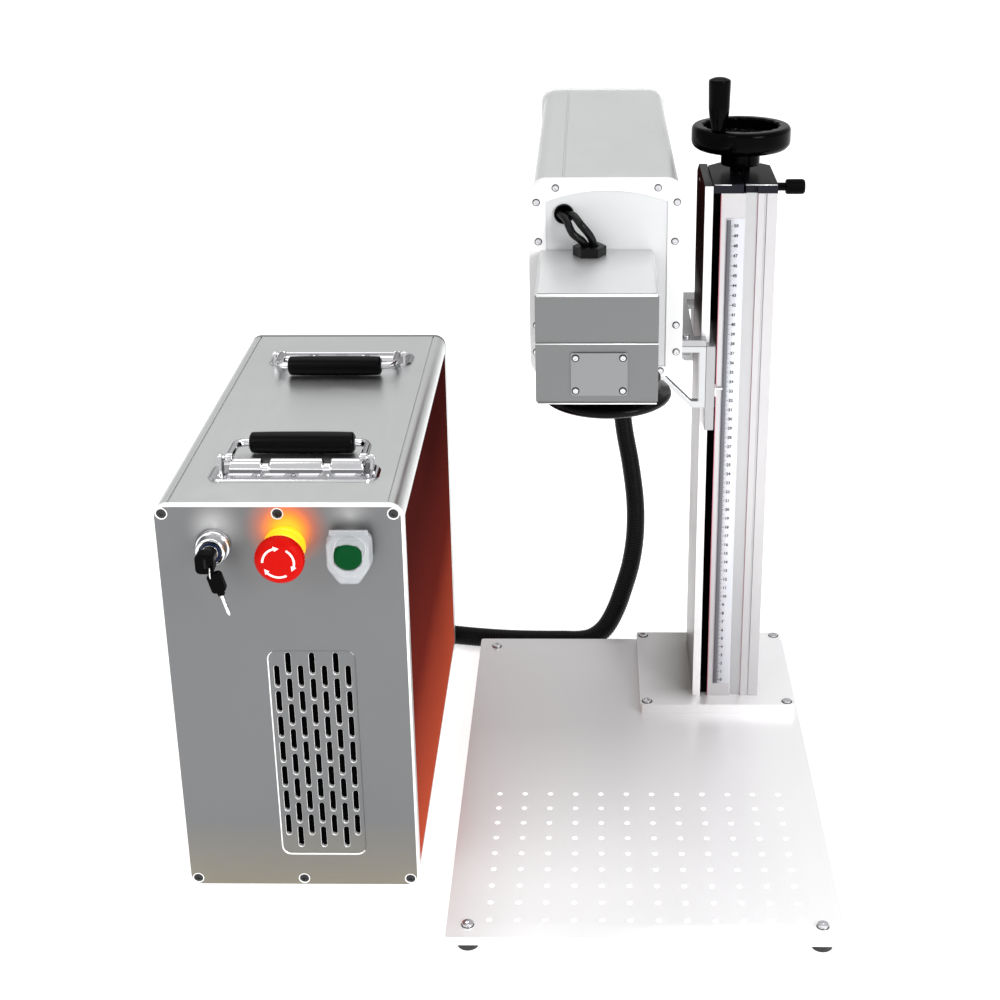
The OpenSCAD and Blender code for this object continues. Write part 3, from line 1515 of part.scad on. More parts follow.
module guard_lid() {
    x = cabinet_x + start_x;
    low = control_z - guard_h / 2;
    back = cabinet_y - guard_frame_t - ear_gap;
    pin_z = low + guard_h + guard_barrel_d / 2;
    pin_y = cabinet_y - guard_frame_t - guard_barrel_d / 2;
    barrel_w = guard_w - 2 * guard_pin_d - 2 * ear_gap;
    color("lightgreen", 0.4) difference() {
        union() {
            translate([x - guard_w / 2, back - guard_l, low]) cube([guard_w, guard_l, guard_h - ear_gap]);
            bar_x(x - barrel_w / 2, pin_y, pin_z, guard_barrel_d - ear_gap, barrel_w);
            translate([x - barrel_w / 2, pin_y - guard_barrel_d / 2 + ear_gap / 2, pin_z - guard_barrel_d])
                cube([barrel_w, guard_barrel_d / 2, guard_barrel_d]);
        }
        translate([x - guard_w / 2 + guard_wall, back - guard_l + guard_wall, low + guard_wall])
            cube([guard_w - 2 * guard_wall, guard_l, guard_h - ear_gap - 2 * guard_wall]);
        bar_x(x - guard_w, pin_y, pin_z, guard_pin_d + 4 * running_fit, 2 * guard_w);
    }
}

module fan_frame() {
    x = cabinet_x + cabinet_w / 2;
    z = cabinet_z + fan_z;
    y = cabinet_back - panel_t - fan_t;
    duct = fan_w * 0.94;
    spoke = fan_w / 20;
    color("#2a2a2a") {
        along_y(y, fan_t) translate([x, z]) difference() {
            square(fan_w, center = true);
            circle(d = duct);
        }
        along_y(y + fan_t - spoke, spoke) translate([x, z]) {
            circle(d = fan_hub_d);
            for (a = [45, 135]) rotate(a) square([duct + spoke, spoke], center = true);
        }
        bar_y(x, y + spoke, z, fan_hub_d / 6, fan_t - 1.5 * spoke);
    }
}

module fan_rotor() {
    x = cabinet_x + cabinet_w / 2;
    z = cabinet_z + fan_z;
    y = cabinet_back - panel_t - fan_t;
    spoke = fan_w / 20;
    rotor_l = fan_t - 2 * spoke - ear_gap;
    reach = fan_w * 0.45;
    color("#3a3a3a") difference() {
        union() {
            bar_y(x, y + spoke, z, fan_hub_d, rotor_l);
            for (k = [0:fan_blades - 1]) translate([x, y + spoke + rotor_l / 2, z])
                rotate([0, 360 * k / fan_blades, 0])
                translate([0, 0, fan_hub_d / 4]) rotate([0, 0, 35])
                    translate([-spoke / 6, -rotor_l * 0.55, 0])
                        cube([spoke / 3, rotor_l * 1.1, reach - fan_hub_d / 4]);
        }
        bar_y(x, y, z, fan_hub_d / 6 + 2 * running_fit, fan_t);
    }
}

module fibre_source() {
    rail = boss_r;
    color("steelblue") translate([cabinet_x, equipment_y, cabinet_z]) {
        translate([cabinet_wall + block_gap, 0, boss_top + block_gap]) cube([source_w, source_d, source_h]);
        for (y = [rail, source_d - 2 * rail]) translate([boss_top + block_gap, y, cabinet_wall])
            cube([cabinet_w / 2 - boss_top - boss_r - 2 * block_gap, rail,
                boss_top + block_gap - cabinet_wall]);
    }
}

module power_supply() {
    color("silver")
        translate([cabinet_x + cabinet_w - boss_top - block_gap - supply_w, equipment_y,
            cabinet_z + cabinet_wall])
            cube([supply_w, supply_d, supply_h]);
}

module power_inlet() {
    depth = 30;
    lip = 3;
    pin = 2;
    x = cabinet_x + inlet_x;
    y = cabinet_back;
    z = cabinet_z + inlet_z;
    color("#1c1c1e") difference() {
        union() {
            along_y(y, lip) translate([x - lip, z - lip])
                round_rect(inlet_w + 2 * lip, inlet_h + 2 * lip, lip);
            translate([x, y - depth, z]) cube([inlet_w, depth + cut, inlet_h]);
        }
        translate([x + inlet_w * 0.22, y - depth * 0.6, z + inlet_h * 0.1])
            cube([inlet_w * 0.56, depth, inlet_h * 0.35]);
    }
    color("silver") for (s = [0.35, 0.5, 0.65])
        translate([x + inlet_w * s - pin / 2, y - depth * 0.6, z + inlet_h * 0.25])
            cube([pin, depth * 0.5, 2 * pin]);
}

module cabinet_gland() {
    hose_gland(cabinet_gland_x, cabinet_back, cabinet_gland_z);
}

module hose_drop() {
    color("#141414") ribbed_hose(drop_route, drop_ribs, coil_lean);
}

module hose_floor() {
    color("#141414") {
        ribbed_hose(floor_route, floor_ribs, [0, 0, 1]);
        ribbed_hose(tail_route, tail_ribs, [1, 0, 0]);
    }
}

module hose_coil() {
    color("#141414") solid_tube(coil_path, hose_d, 6, [0, 0, 1]);
}

base_plate();
rubber_feet();
column_flange();
fixing_screws();
column_profile();
column_cover();
column_top_cap();
ruler_scale();
guide_rods();
end_blocks();
cabinet_shell();
cabinet_side_panels();
cabinet_front_panel();
cabinet_rear_panel();
handle_bases();
key_barrel();
estop_collar();
start_bezel();
fan_frame();
fibre_source();
power_supply();
power_inlet();
cabinet_gland();
hose_drop();
hose_floor();
hose_coil();
carriage();
rod_bushes();
lead_nut();
ruler_pointer();
head_bracket();
bracket_gussets();
head_shell();
head_side_panels();
head_front_cap();
head_rear_cap();
head_screws();
beam_isolator();
scan_housing();
scan_cover();
galvo_motors();
lens_barrel();
lens_glass();
head_glands();
scan_cables();
x_mirror();
y_mirror();
handwheel();
lead_screw();
handwheel_grip();
lock_knob();
estop_plunger();
estop_head();
start_button();
guard_lid();
front_handle();
rear_handle();
key();
spare_key();
fan_rotor();
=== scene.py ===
"""Looks of the split laser marking machine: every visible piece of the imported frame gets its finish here.

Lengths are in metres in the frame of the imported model, +Z up and -Y towards the user.
"""
import math
import bmesh
import bpy
import numpy as np
from mathutils import Matrix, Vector
from mathutils.geometry import tessellate_polygon


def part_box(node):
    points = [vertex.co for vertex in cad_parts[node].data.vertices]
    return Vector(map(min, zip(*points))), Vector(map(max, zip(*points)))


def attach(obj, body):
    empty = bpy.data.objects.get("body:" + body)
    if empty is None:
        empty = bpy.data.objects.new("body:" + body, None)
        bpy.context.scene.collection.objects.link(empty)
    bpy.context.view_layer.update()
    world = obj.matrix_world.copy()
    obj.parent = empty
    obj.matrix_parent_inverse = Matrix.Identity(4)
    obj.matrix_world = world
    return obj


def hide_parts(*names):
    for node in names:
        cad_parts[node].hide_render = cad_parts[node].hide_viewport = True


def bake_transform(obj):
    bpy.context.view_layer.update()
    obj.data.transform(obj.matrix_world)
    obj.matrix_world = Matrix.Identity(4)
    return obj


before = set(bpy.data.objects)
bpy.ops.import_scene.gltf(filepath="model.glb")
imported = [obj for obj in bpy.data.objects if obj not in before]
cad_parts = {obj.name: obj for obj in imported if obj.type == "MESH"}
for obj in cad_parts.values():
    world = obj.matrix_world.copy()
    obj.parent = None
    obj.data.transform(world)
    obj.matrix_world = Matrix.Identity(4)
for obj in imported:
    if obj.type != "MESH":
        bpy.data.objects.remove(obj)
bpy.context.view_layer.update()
MM = 0.001
TURN = 2 * math.pi

# Places that several pieces share.
PANEL_FRONT, CONTROL_Z = -0.2991, 0.353
KEY_X, ESTOP_X, START_X = -0.2466, -0.1856, -0.1291
VENT_X, VENT_Z, VENT_HALF_W, VENT_HALF_H = -0.1701, 0.14525, 0.038, 0.10525
PANEL_SCREWS = [(u, w) for u in (0.008, 0.1065, 0.205) for w in (0.008, 0.377)]
HEAD_X, HEAD_FRONT, HEAD_BACK, HEAD_BASE = 0.0888, -0.115, 0.36, 0.44
SCAN_BASE, SCAN_SEAM = 0.4625, 0.5167

# ---------------------------------------------------------------- camera
CAMERA_AT = np.array([0.07458, -1.6219, 0.96935])
CAMERA_YAW, CAMERA_PITCH, CAMERA_ROLL = math.radians(-1.11), math.radians(22.14), math.radians(-0.43)
CAMERA_LENS, CAMERA_SENSOR = 61.82, 36.0
CAMERA_SHIFT = (-0.06, -0.04)


def placed(thing, right, up, back, at):
    """Links an object with its own axes along right, up and back, and its origin at the given place."""
    rows = np.stack([right, up, back, at], 1).tolist()
    thing.matrix_world = Matrix([*rows, (0, 0, 0, 1)])
    bpy.context.scene.collection.objects.link(thing)


def set_camera():
    """Camera at the photo's place: its look direction comes from yaw and pitch, then it rolls about that."""
    look = np.array([math.sin(CAMERA_YAW) * math.cos(CAMERA_PITCH),
                     math.cos(CAMERA_YAW) * math.cos(CAMERA_PITCH), -math.sin(CAMERA_PITCH)])
    level = np.array([math.cos(CAMERA_YAW), -math.sin(CAMERA_YAW), 0.0])
    up = np.cross(level, look)
    right = level * math.cos(CAMERA_ROLL) + up * math.sin(CAMERA_ROLL)
    top = -level * math.sin(CAMERA_ROLL) + up * math.cos(CAMERA_ROLL)
    data = bpy.data.cameras.new("photo_camera")
    data.lens, data.sensor_width = CAMERA_LENS, CAMERA_SENSOR
    data.shift_x, data.shift_y = CAMERA_SHIFT
    data.clip_start, data.clip_end = 0.05, 40.0
    camera = bpy.data.objects.new("photo_camera", data)
    placed(camera, right, top, -look, CAMERA_AT)
    bpy.context.scene.camera = camera


set_camera()


# ---------------------------------------------------------------- finishes
class Value:
    """A number or colour that changes over a surface: adding, multiplying or taking it away adds a Math node."""

    def __init__(self, finish, socket):
        self.finish, self.socket = finish, socket

    def math(self, kind, first, second):
        return self.finish.node("ShaderNodeMath", {"operation": kind}, {0: first, 1: second})

    def __add__(self, other):
        return self.math("ADD", self, other)

    def __rsub__(self, other):
        return self.math("SUBTRACT", other, self)

    def __mul__(self, other):
        return self.math("MULTIPLY", self, other)


class Finish:
    """One material: a Principled shader whose sockets take fixed values or Values."""

    def __init__(self, name, color, roughness, metallic, **fixed):
        self.mat = bpy.data.materials.new(name)
        self.mat.use_nodes = True
        self.mat.diffuse_color = (*color, 1.0)
        self.tree = self.mat.node_tree
        self.shader = self.tree.nodes["Principled BSDF"]
        self.set("Base Color", (*color, 1.0))
        self.set("Roughness", roughness)
        self.set("Metallic", metallic)
        for key, value in fixed.items():
            self.set(key.replace("_", " "), value)

    def put(self, socket, value):
        """Links a Value to a socket, or sets the socket to a fixed one."""
        if isinstance(value, Value):
            self.tree.links.new(value.socket, socket)
        elif isinstance(value, tuple) and len(value) == 3 and socket.type == "RGBA":
            socket.default_value = (*value, 1.0)
        else:
            socket.default_value = value

    def set(self, key, value):
        self.put(self.shader.inputs[key], value)
        return self

    def node(self, kind, settings=None, inputs=None, output=0):
        """Adds a node: its settings (a ramp's stops among them) first, then its inputs."""
        made = self.tree.nodes.new(kind)
        for key, value in (settings or {}).items():
            if key == "stops":
                ramp = made.color_ramp.elements
                while len(ramp) < len(value):
                    ramp.new(0.5)
                for element, (at, color) in zip(ramp, value):
                    element.position = at
                    element.color = (*color, 1.0)
            else:
                setattr(made, key, value)
        for key, value in (inputs or {}).items():
            self.put(made.inputs[key], value)
        return Value(self, made.outputs[output])

    def place(self, stretch=(1.0, 1.0, 1.0)):
        """Object coordinates, stretched by a Mapping node."""
        where = self.node("ShaderNodeTexCoord", output="Object")
        return self.node("ShaderNodeMapping", None, {"Vector": where, "Scale": stretch})

    def axis(self, k):
        """Object coordinate along x, y or z, for k from 0 to 2."""
        return self.node("ShaderNodeSeparateXYZ", None, {0: self.place()}, output=k)

    def noise(self, scale, detail=3.0, stretch=(1.0, 1.0, 1.0), distortion=0.0):
        return self.node("ShaderNodeTexNoise", None, {
            "Vector": self.place(stretch), "Scale": scale, "Detail": detail, "Distortion": distortion})

    def mix(self, share, low, high):
        """Colour between low and high at share; low and high are inputs 6 and 7 of a colour Mix node."""
        return self.node("ShaderNodeMix", {"data_type": "RGBA"}, {0: share, 6: low, 7: high}, output=2)

    def band(self, value, low, high):
        """0 below low, 1 above high, and a straight run between."""
        return self.node("ShaderNodeMapRange", None, {0: value, 1: low, 2: high, 3: 0.0, 4: 1.0})

    def bump(self, height, strength, distance):
        self.set("Normal", self.node("ShaderNodeBump", None, {
            "Height": height, "Strength": strength, "Distance": distance}))
        return self


def shade(color, factor):
    """The colour times a factor, at most white."""
    return tuple(min(1.0, c * factor) for c in color)


def brushed(name, color, roughness, along, grain=0.12, metallic=1.0, bump=0.12, spread=0.07, **fixed):
    """Metal brushed along one axis: long streaks move roughness and bump, soft clouds move the tone."""
    made = Finish(name, color, roughness, metallic, **fixed)
    across, run = 900.0, 12.0
    streak = made.noise(1.0, 2.0, tuple(run if k == along else across for k in range(3)))
    cloud = made.noise(7.0, 4.0)
    smudge = made.band(made.noise(23.0, 5.0, distortion=0.6), 0.52, 0.72)
    made.set("Roughness", streak * grain + cloud * spread + smudge * 0.05 + (roughness - grain / 2 - spread / 2))
    made.set("Base Color", made.mix(cloud * 0.7 + streak * 0.3, shade(color, 0.93), shade(color, 1.05)))
    return made.bump(streak, bump, 0.00005)


def cast(name, color, roughness, grain=1400.0, bump=0.25, metallic=0.9, **fixed):
    """Bead-blasted or cast metal: a fine even grain with soft clouds in tone and gloss."""
    made = Finish(name, color, roughness, metallic, **fixed)
    pits = made.noise(grain, 2.0)
    cloud = made.noise(11.0, 4.0)
    made.set("Roughness", pits * 0.14 + cloud * 0.1 + (roughness - 0.12))
    made.set("Base Color", made.mix(cloud * 0.6 + pits * 0.4, shade(color, 0.9), shade(color, 1.07)))
    return made.bump(pits, bump, 0.00008)


def moulded(name, color, roughness, peel=260.0, bump=0.05, spread=0.1, dust=0.0, **fixed):
    """Moulded plastic or paint: orange peel in the bump, clouds in the gloss, and dust where asked."""
    made = Finish(name, color, roughness, 0.0, **fixed)
    skin = made.noise(peel, 2.0)
    cloud = made.noise(16.0, 4.0)
    specks = made.band(made.noise(700.0, 3.0), 0.66, 0.74)
    lit = tuple(min(1.0, c + dust) for c in color)
    made.set("Base Color", made.mix(cloud * 0.5 + specks * 0.5, shade(color, 0.94), shade(lit, 1.06)))
    made.set("Roughness", cloud * spread + specks * 0.08 + (roughness - spread / 2))
    return made.bump(skin, bump, 0.0001)


def plate_finish():
    """Anodised plate with painted light: paler towards its front and right, where the lamps light it, and a painted
    shadow of the column beside its foot.
    """
    made = brushed("plate_anodised", (0.9, 0.895, 0.9), 0.34, 0, grain=0.08, metallic=0.55, bump=0.03)
    x, y, z = (made.axis(k) for k in range(3))
    cloud = made.noise(7.0, 3.0)
    # painted light: darker at the back, paler towards the front and then towards the right
    tone = made.mix(made.band(y + cloud * 0.03, -0.02, -0.31), (0.66, 0.655, 0.66), (0.97, 0.965, 0.97))
    tone = made.mix(made.band(x + cloud * 0.02, 0.12, 0.26), tone, (0.93, 0.925, 0.935))
    # painted shadow of the column on the flange's top, left of the column's foot
    shaded = made.band(x, 0.125, 0.18) * made.band(x, 0.19, 0.186)
    shaded = shaded * made.band(y, -0.01, 0.02) * made.band(z, 0.0225, 0.0235)
    return made.set("Base Color", made.mix(shaded * 0.8, tone, (0.17, 0.16, 0.14)))


def red_enamel():
    """Red enamel that is darker towards the top, as the room's light falls on it from low down."""
    made = moulded("red_gloss", (0.2, 0.02, 0.01), 0.5, peel=180.0, bump=0.03, Specular_IOR_Level=0.0)
    height = made.axis(2)
    cloud = made.noise(9.0, 3.0)
    low = made.mix(made.band(height + cloud * 0.02, 0.0, 0.2), (0.56, 0.092, 0.045), (0.15, 0.02, 0.014))
    return made.set("Base Color", made.mix(made.band(height + cloud * 0.02, 0.16, 0.34), low, (0.055, 0.0095, 0.0085)))


def polished_chrome():
    """Chrome in a bright room with painted reflections: bands of light and dark in its colour that follow how far the
    surface turns from the eye.
    """
    made = brushed("chrome", (0.8, 0.81, 0.83), 0.1, 0, grain=0.03, bump=0.01, spread=0.05)
    facing = made.node("ShaderNodeLayerWeight", None, {"Blend": 0.5}, 1)
    # painted reflection bands, picked by how far each face turns from the eye
    bands = made.node("ShaderNodeValToRGB", {"stops": (
        (0.0, (0.82, 0.82, 0.84)), (0.22, (0.88, 0.88, 0.9)), (0.34, (0.16, 0.16, 0.18)), (0.44, (0.8, 0.8, 0.82)),
        (0.6, (0.55, 0.55, 0.57)), (0.72, (0.07, 0.07, 0.08)), (0.84, (0.5, 0.5, 0.52)), (1.0, (0.85, 0.85, 0.87)))},
        {0: facing})
    cloud = made.noise(60.0, 3.0)
    return made.set("Base Color", made.mix(cloud * 0.25, bands, (0.5, 0.5, 0.52)))


def cover_finish():
    """Anodised cover plate with painted light: its outer face is painted much darker than its pale front, as shade,
    and carries a painted reflection of the red head near the top, so the tone turns from grey to dark red with height."""
    made = brushed("cover_anodised", (0.3, 0.29, 0.29), 0.34, 2, grain=0.08, bump=0.04)
    height = made.axis(2)
    cloud = made.noise(9.0, 3.0)
    tone = made.mix(cloud, (0.26, 0.25, 0.25), (0.33, 0.31, 0.31))
    # painted reflection of the red head, rising with height
    red = made.band(height + cloud * 0.03, 0.36, 0.5)
    made.set("Metallic", 1.0 - red * 0.97)
    made.set("Specular IOR Level", 0.0)
    return made.set("Base Color", made.mix(red, tone, (0.045, 0.006, 0.006)))


def panel_with_glow():
    """Satin panel with painted light: the soft orange light that the emergency stop throws on it, painted into its
    colour and its glow, and whitish painted highlights above the two other controls: each is a round falloff about its
    own point."""
    made = cast("panel_glow", (0.17, 0.173, 0.174), 0.42, grain=1100.0, metallic=0.75, bump=0.3)
    where, height = made.place(), made.axis(2)
    pits = made.noise(1100.0, 2.0)
    cloud = made.noise(11.0, 4.0)
    tone = made.mix(cloud * 0.6 + pits * 0.4, (0.146, 0.149, 0.152), (0.18, 0.183, 0.187))

    def falloff(x, z, reach):
        gone = made.node("ShaderNodeVectorMath", {"operation": "DISTANCE"}, {0: where, 1: (x, PANEL_FRONT, z)}, 1)
        near = made.band(gone, reach, 0.0)
        return near * near

    # lighter and warmer towards the panel's lower edge
    tone = made.mix(made.band(height, 0.075, 0.0), tone, (0.235, 0.215, 0.17))
    # painted light: an orange pool round the emergency stop with a brighter core
    warm = falloff(-0.1838, 0.369, 0.04)
    core = falloff(-0.1838, 0.366, 0.026)
    # painted highlights: whitish patches above the key switch and the start button
    tone = made.mix(falloff(-0.244, 0.37, 0.03) * 0.8, tone, (0.8, 0.8, 0.8))
    tone = made.mix(falloff(-0.129, 0.38, 0.028) * 0.5, tone, (0.7, 0.7, 0.7))
    tone = made.mix(made.band(warm, 0.0, 0.55), tone, (0.95, 0.16, 0.02))
    tone = made.mix(made.band(core, 0.0, 0.5), tone, (1.0, 0.46, 0.03))
    made.set("Base Color", tone)
    # painted glow: the panel emits orange round the emergency stop, which holds no lamp
    made.set("Emission Color", made.mix(made.band(core, 0.0, 0.35), made.mix(
        made.band(warm, 0.0, 0.8), (0.0, 0.0, 0.0), (0.6, 0.08, 0.005)), (0.9, 0.3, 0.01)))
    made.set("Emission Strength", 0.5)
    return made.set("Metallic", made.band(warm, 0.5, 0.0) * 0.7)


plate_anodised = plate_finish()
# painted light: pale, faintly glowing hole walls, so that the plate's holes look lit
hole_wall_painted_light = moulded("hole_wall_painted_light", (0.86, 0.86, 0.86), 0.5, peel=900.0, bump=0.05,
                    Emission_Color=(1.0, 1.0, 1.0, 1.0), Emission_Strength=0.4)
column_anodised = brushed("column_anodised", (0.56, 0.55, 0.56), 0.36, 2, grain=0.08, metallic=0.8, bump=0.04)
groove_shade = brushed("groove_shade", (0.5, 0.5, 0.51), 0.4, 2, grain=0.08, bump=0.04)
# painted reflection of the red head on a groove wall and on the profile's front edge
groove_red_reflection = moulded("groove_red_reflection", (0.62, 0.22, 0.28), 0.4, peel=500.0, bump=0.03)
# painted shade: flat black for slots, gaps and insides that are dark from shade, and also for the rods' end blocks
black_and_painted_shade = moulded("black_and_painted_shade", (0.003, 0.003, 0.003), 0.7, peel=500.0, bump=0.05, Specular_IOR_Level=0.0)
gusset_metal = brushed("gusset_metal", (0.52, 0.53, 0.54), 0.3, 0, grain=0.12)
bracket_metal = brushed("bracket_metal", (0.4, 0.4, 0.41), 0.34, 0, grain=0.1, metallic=0.85, bump=0.04)
cover_pale = brushed("cover_pale", (0.88, 0.87, 0.88), 0.34, 2, grain=0.08, metallic=0.55, bump=0.04)
cap_anodised = cast("cap_anodised", (0.012, 0.012, 0.018), 0.3, metallic=0.0, bump=0.06, Specular_IOR_Level=0.1)
# painted shade: a darker copy of the cap's finish for the tops of the cap and the cover
cap_top_painted_shade = cast("cap_top_painted_shade", (0.003, 0.003, 0.004), 0.3, metallic=0.0, bump=0.06, Specular_IOR_Level=0.03)
ground_steel = brushed("ground_steel", (0.62, 0.63, 0.65), 0.22, 2, grain=0.08)
screw_steel = brushed("screw_steel", (0.6, 0.6, 0.62), 0.25, 0, grain=0.12, bump=0.05)
screw_black = cast("screw_black", (0.03, 0.03, 0.032), 0.3, grain=900.0, metallic=0.5, bump=0.1)
shell_brushed = brushed("shell_brushed", (0.66, 0.67, 0.665), 0.33, 1, grain=0.14, bump=0.08)
panel_satin = cast("panel_satin", (0.185, 0.188, 0.188), 0.42, grain=1100.0, metallic=0.75, bump=0.3)
# painted highlight: near-white strips, walls and rims where edges, chamfers and screw heads catch the light
painted_edge_highlight = cast("painted_edge_highlight", (0.95, 0.95, 0.95), 0.34, grain=900.0, metallic=0.3, bump=0.04)
red_gloss = red_enamel()
white_paint = moulded("white_paint", (0.8, 0.8, 0.8), 0.38, peel=420.0, bump=0.05)
# painted shade: a darker copy of the white paint for the front cap's sunk face
white_painted_shade = moulded("white_painted_shade", (0.6, 0.61, 0.62), 0.42, peel=420.0, bump=0.05)
head_satin = brushed("head_satin", (0.66, 0.67, 0.67), 0.36, 1, grain=0.1, metallic=0.85, bump=0.05)
scan_cast = cast("scan_cast", (0.185, 0.188, 0.19), 0.4, grain=1500.0, bump=0.2)
# painted light: a pale copy of the scan head's cast finish for its top
scan_top_painted_light = cast("scan_top_painted_light", (0.72, 0.725, 0.73), 0.4, grain=1500.0, bump=0.1)
plate_bare = cast("plate_bare", (0.25, 0.255, 0.26), 0.38, grain=1300.0, bump=0.12)
lens_anodised = cast("lens_anodised", (0.002, 0.002, 0.002), 0.24, grain=1600.0, metallic=0.0, bump=0.04,
                     Specular_IOR_Level=0.08)
black_gloss = moulded("black_gloss", (0.0006, 0.0006, 0.0008), 0.16, peel=120.0, bump=0.02, spread=0.06,
                      Specular_IOR_Level=0.04)
sleeve_black = moulded("sleeve_black", (0.001, 0.001, 0.0015), 0.3, peel=600.0, bump=0.08, Specular_IOR_Level=0.08)
rubber_black = moulded("rubber_black", (0.014, 0.014, 0.014), 0.62, peel=800.0, bump=0.2, dust=0.01)
hose_nylon = moulded("hose_nylon", (0.0015, 0.0015, 0.002), 0.4, peel=500.0, bump=0.05, dust=0.001,
                     Specular_IOR_Level=0.1)
cable_black = moulded("cable_black", (0.003, 0.003, 0.0035), 0.3, peel=700.0, bump=0.06, Specular_IOR_Level=0.15)
plastic_black = moulded("plastic_black", (0.004, 0.004, 0.0045), 0.36, peel=650.0, bump=0.08,
                        Specular_IOR_Level=0.15)
insert_blue = moulded("insert_blue", (0.006, 0.014, 0.05), 0.28, peel=500.0, bump=0.05)
# painted glow: the yellow collar emits orange light, though it holds no lamp
yellow_gloss = moulded("yellow_gloss", (0.95, 0.55, 0.01), 0.3, bump=0.04, Emission_Color=(1.0, 0.55, 0.01, 1.0),
                       Emission_Strength=0.45)
red_button = moulded("red_button", (0.52, 0.004, 0.002), 0.34, peel=240.0, bump=0.03, Specular_IOR_Level=0.05)
green_button = moulded("green_button", (0.001, 0.055, 0.014), 0.34, peel=240.0, bump=0.03, Specular_IOR_Level=0.04)
arrow_white = moulded("arrow_white", (0.85, 0.85, 0.83), 0.4, bump=0.03)
brass_turned = brushed("brass_turned", (0.72, 0.5, 0.2), 0.24, 2, grain=0.1)
box_paint = cast("box_paint", (0.2, 0.24, 0.3), 0.45, grain=500.0, metallic=0.2)
supply_zinc = brushed("supply_zinc", (0.58, 0.6, 0.62), 0.34, 1, grain=0.14)
ruler_white = moulded("ruler_white", (0.7, 0.71, 0.76), 0.36, peel=500.0, bump=0.04)
ruler_grey = moulded("ruler_grey", (0.17, 0.17, 0.19), 0.5, peel=500.0, bump=0.04, Specular_IOR_Level=0.1)
ruler_ink = moulded("ruler_ink", (0.01, 0.01, 0.012), 0.45, bump=0.03)
mirror_coat = brushed("mirror_coat", (0.93, 0.94, 0.95), 0.06, 0, grain=0.02, bump=0.005, spread=0.02)
clear_guard = moulded("clear_guard", (0.66, 0.68, 0.71), 0.05, peel=90.0, bump=0.5, spread=0.04, Alpha=0.34)
guard_white = moulded("guard_white", (0.36, 0.37, 0.39), 0.25, peel=150.0, bump=0.1)
lens_coat = moulded("lens_coat", (0.55, 0.42, 0.8), 0.05, peel=60.0, bump=0.005, spread=0.02,
                    Transmission_Weight=0.85, IOR=1.52)
nickel = brushed("nickel", (0.7, 0.69, 0.67), 0.18, 1, grain=0.06, bump=0.03)
chrome = polished_chrome()
cover_anodised = cover_finish()
panel_glow = panel_with_glow()


# ---------------------------------------------------------------- making pieces
def shown(mesh, finish, body, node=None, smooth_angle=38.0):
    """Links a mesh as the piece of its name, which rides on a body, with its finish and the CAD node that it
    stands for."""
    piece = bpy.data.objects.new(mesh.name, mesh)
    bpy.context.scene.collection.objects.link(piece)
    for one in finish if isinstance(finish, tuple) else (finish,):
        mesh.materials.append(one.mat)
    mesh.shade_smooth()
    if smooth_angle:
        mesh.set_sharp_from_angle(angle=math.radians(smooth_angle))
    if body:
        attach(piece, body)
    for one in ([node] if isinstance(node, str) else node or []):
        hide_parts(one)
    return piece


def mm(numbers):
    """Numbers given in millimetres, as metres."""
    return np.asarray(numbers, float) * MM


def mesh_from(name, points, faces):
    """Mesh of points in any grid shape and faces that count them row by row."""
    mesh = bpy.data.meshes.new(name)
    mesh.from_pydata([tuple(p) for p in np.asarray(points, float).reshape(-1, 3)], [], faces)
    mesh.validate()
    mesh.update()
    return mesh


def grid_faces(rows, cols, wrap_rows=False, wrap_cols=False, first=0):
    """Quads of a grid of points: row i, column j to its neighbours, wrapped round where asked."""
    i = np.arange(rows if wrap_rows else rows - 1)
    j = np.arange(cols if wrap_cols else cols - 1)
    i, j = np.meshgrid(i, j, indexing="ij")
    a, b = i * cols + j, ((i + 1) % rows) * cols + j
    c, d = ((i + 1) % rows) * cols + (j + 1) % cols, i * cols + (j + 1) % cols
    return (np.stack([a, b, c, d], -1).reshape(-1, 4) + first).tolist()


def outward(mesh, merge=1e-6):
    """Merges doubles, drops faces without area and points every face outwards."""
    work = bmesh.new()
    work.from_mesh(mesh)
    bmesh.ops.remove_doubles(work, verts=work.verts, dist=merge)
    bmesh.ops.dissolve_degenerate(work, edges=work.edges, dist=1e-7)
    bmesh.ops.recalc_face_normals(work, faces=work.faces)
    work.to_mesh(mesh)
    work.free()
    return mesh


AXES = {"x": (1, 2, 0), "y": (2, 0, 1), "z": (0, 1, 2)}


def spread(axis, first, second, height):
    """Points from their coordinates across and along an axis: across x they are y and z, across y they are z
    and x, across z they are x and y."""
    points = np.zeros(np.broadcast(first, second, height).shape + (3,))
    for k, value in zip(AXES[axis], (first, second, height)):
        points[..., k] = value
    return points


def turned(name, profile, centre, axis, steps, ripple=None):
    """Surface of revolution: point (r, h) of the profile at angle a lies r cos a, r sin a off the axis and h
    along it; ripple(a, k) adds to the radius of profile point k. A profile end on the axis closes it."""
    profile = np.asarray(profile, float)
    a = np.arange(steps) / steps * TURN
    r = np.repeat(profile[:, :1], steps, 1)
    if ripple is not None:
        r = r + ripple(a[None, :], np.arange(len(profile))[:, None])
    points = spread(axis, r * np.cos(a), r * np.sin(a), profile[:, 1:2]) + np.asarray(centre, float)
    return outward(mesh_from(name, points, grid_faces(len(profile), steps, wrap_cols=True)))


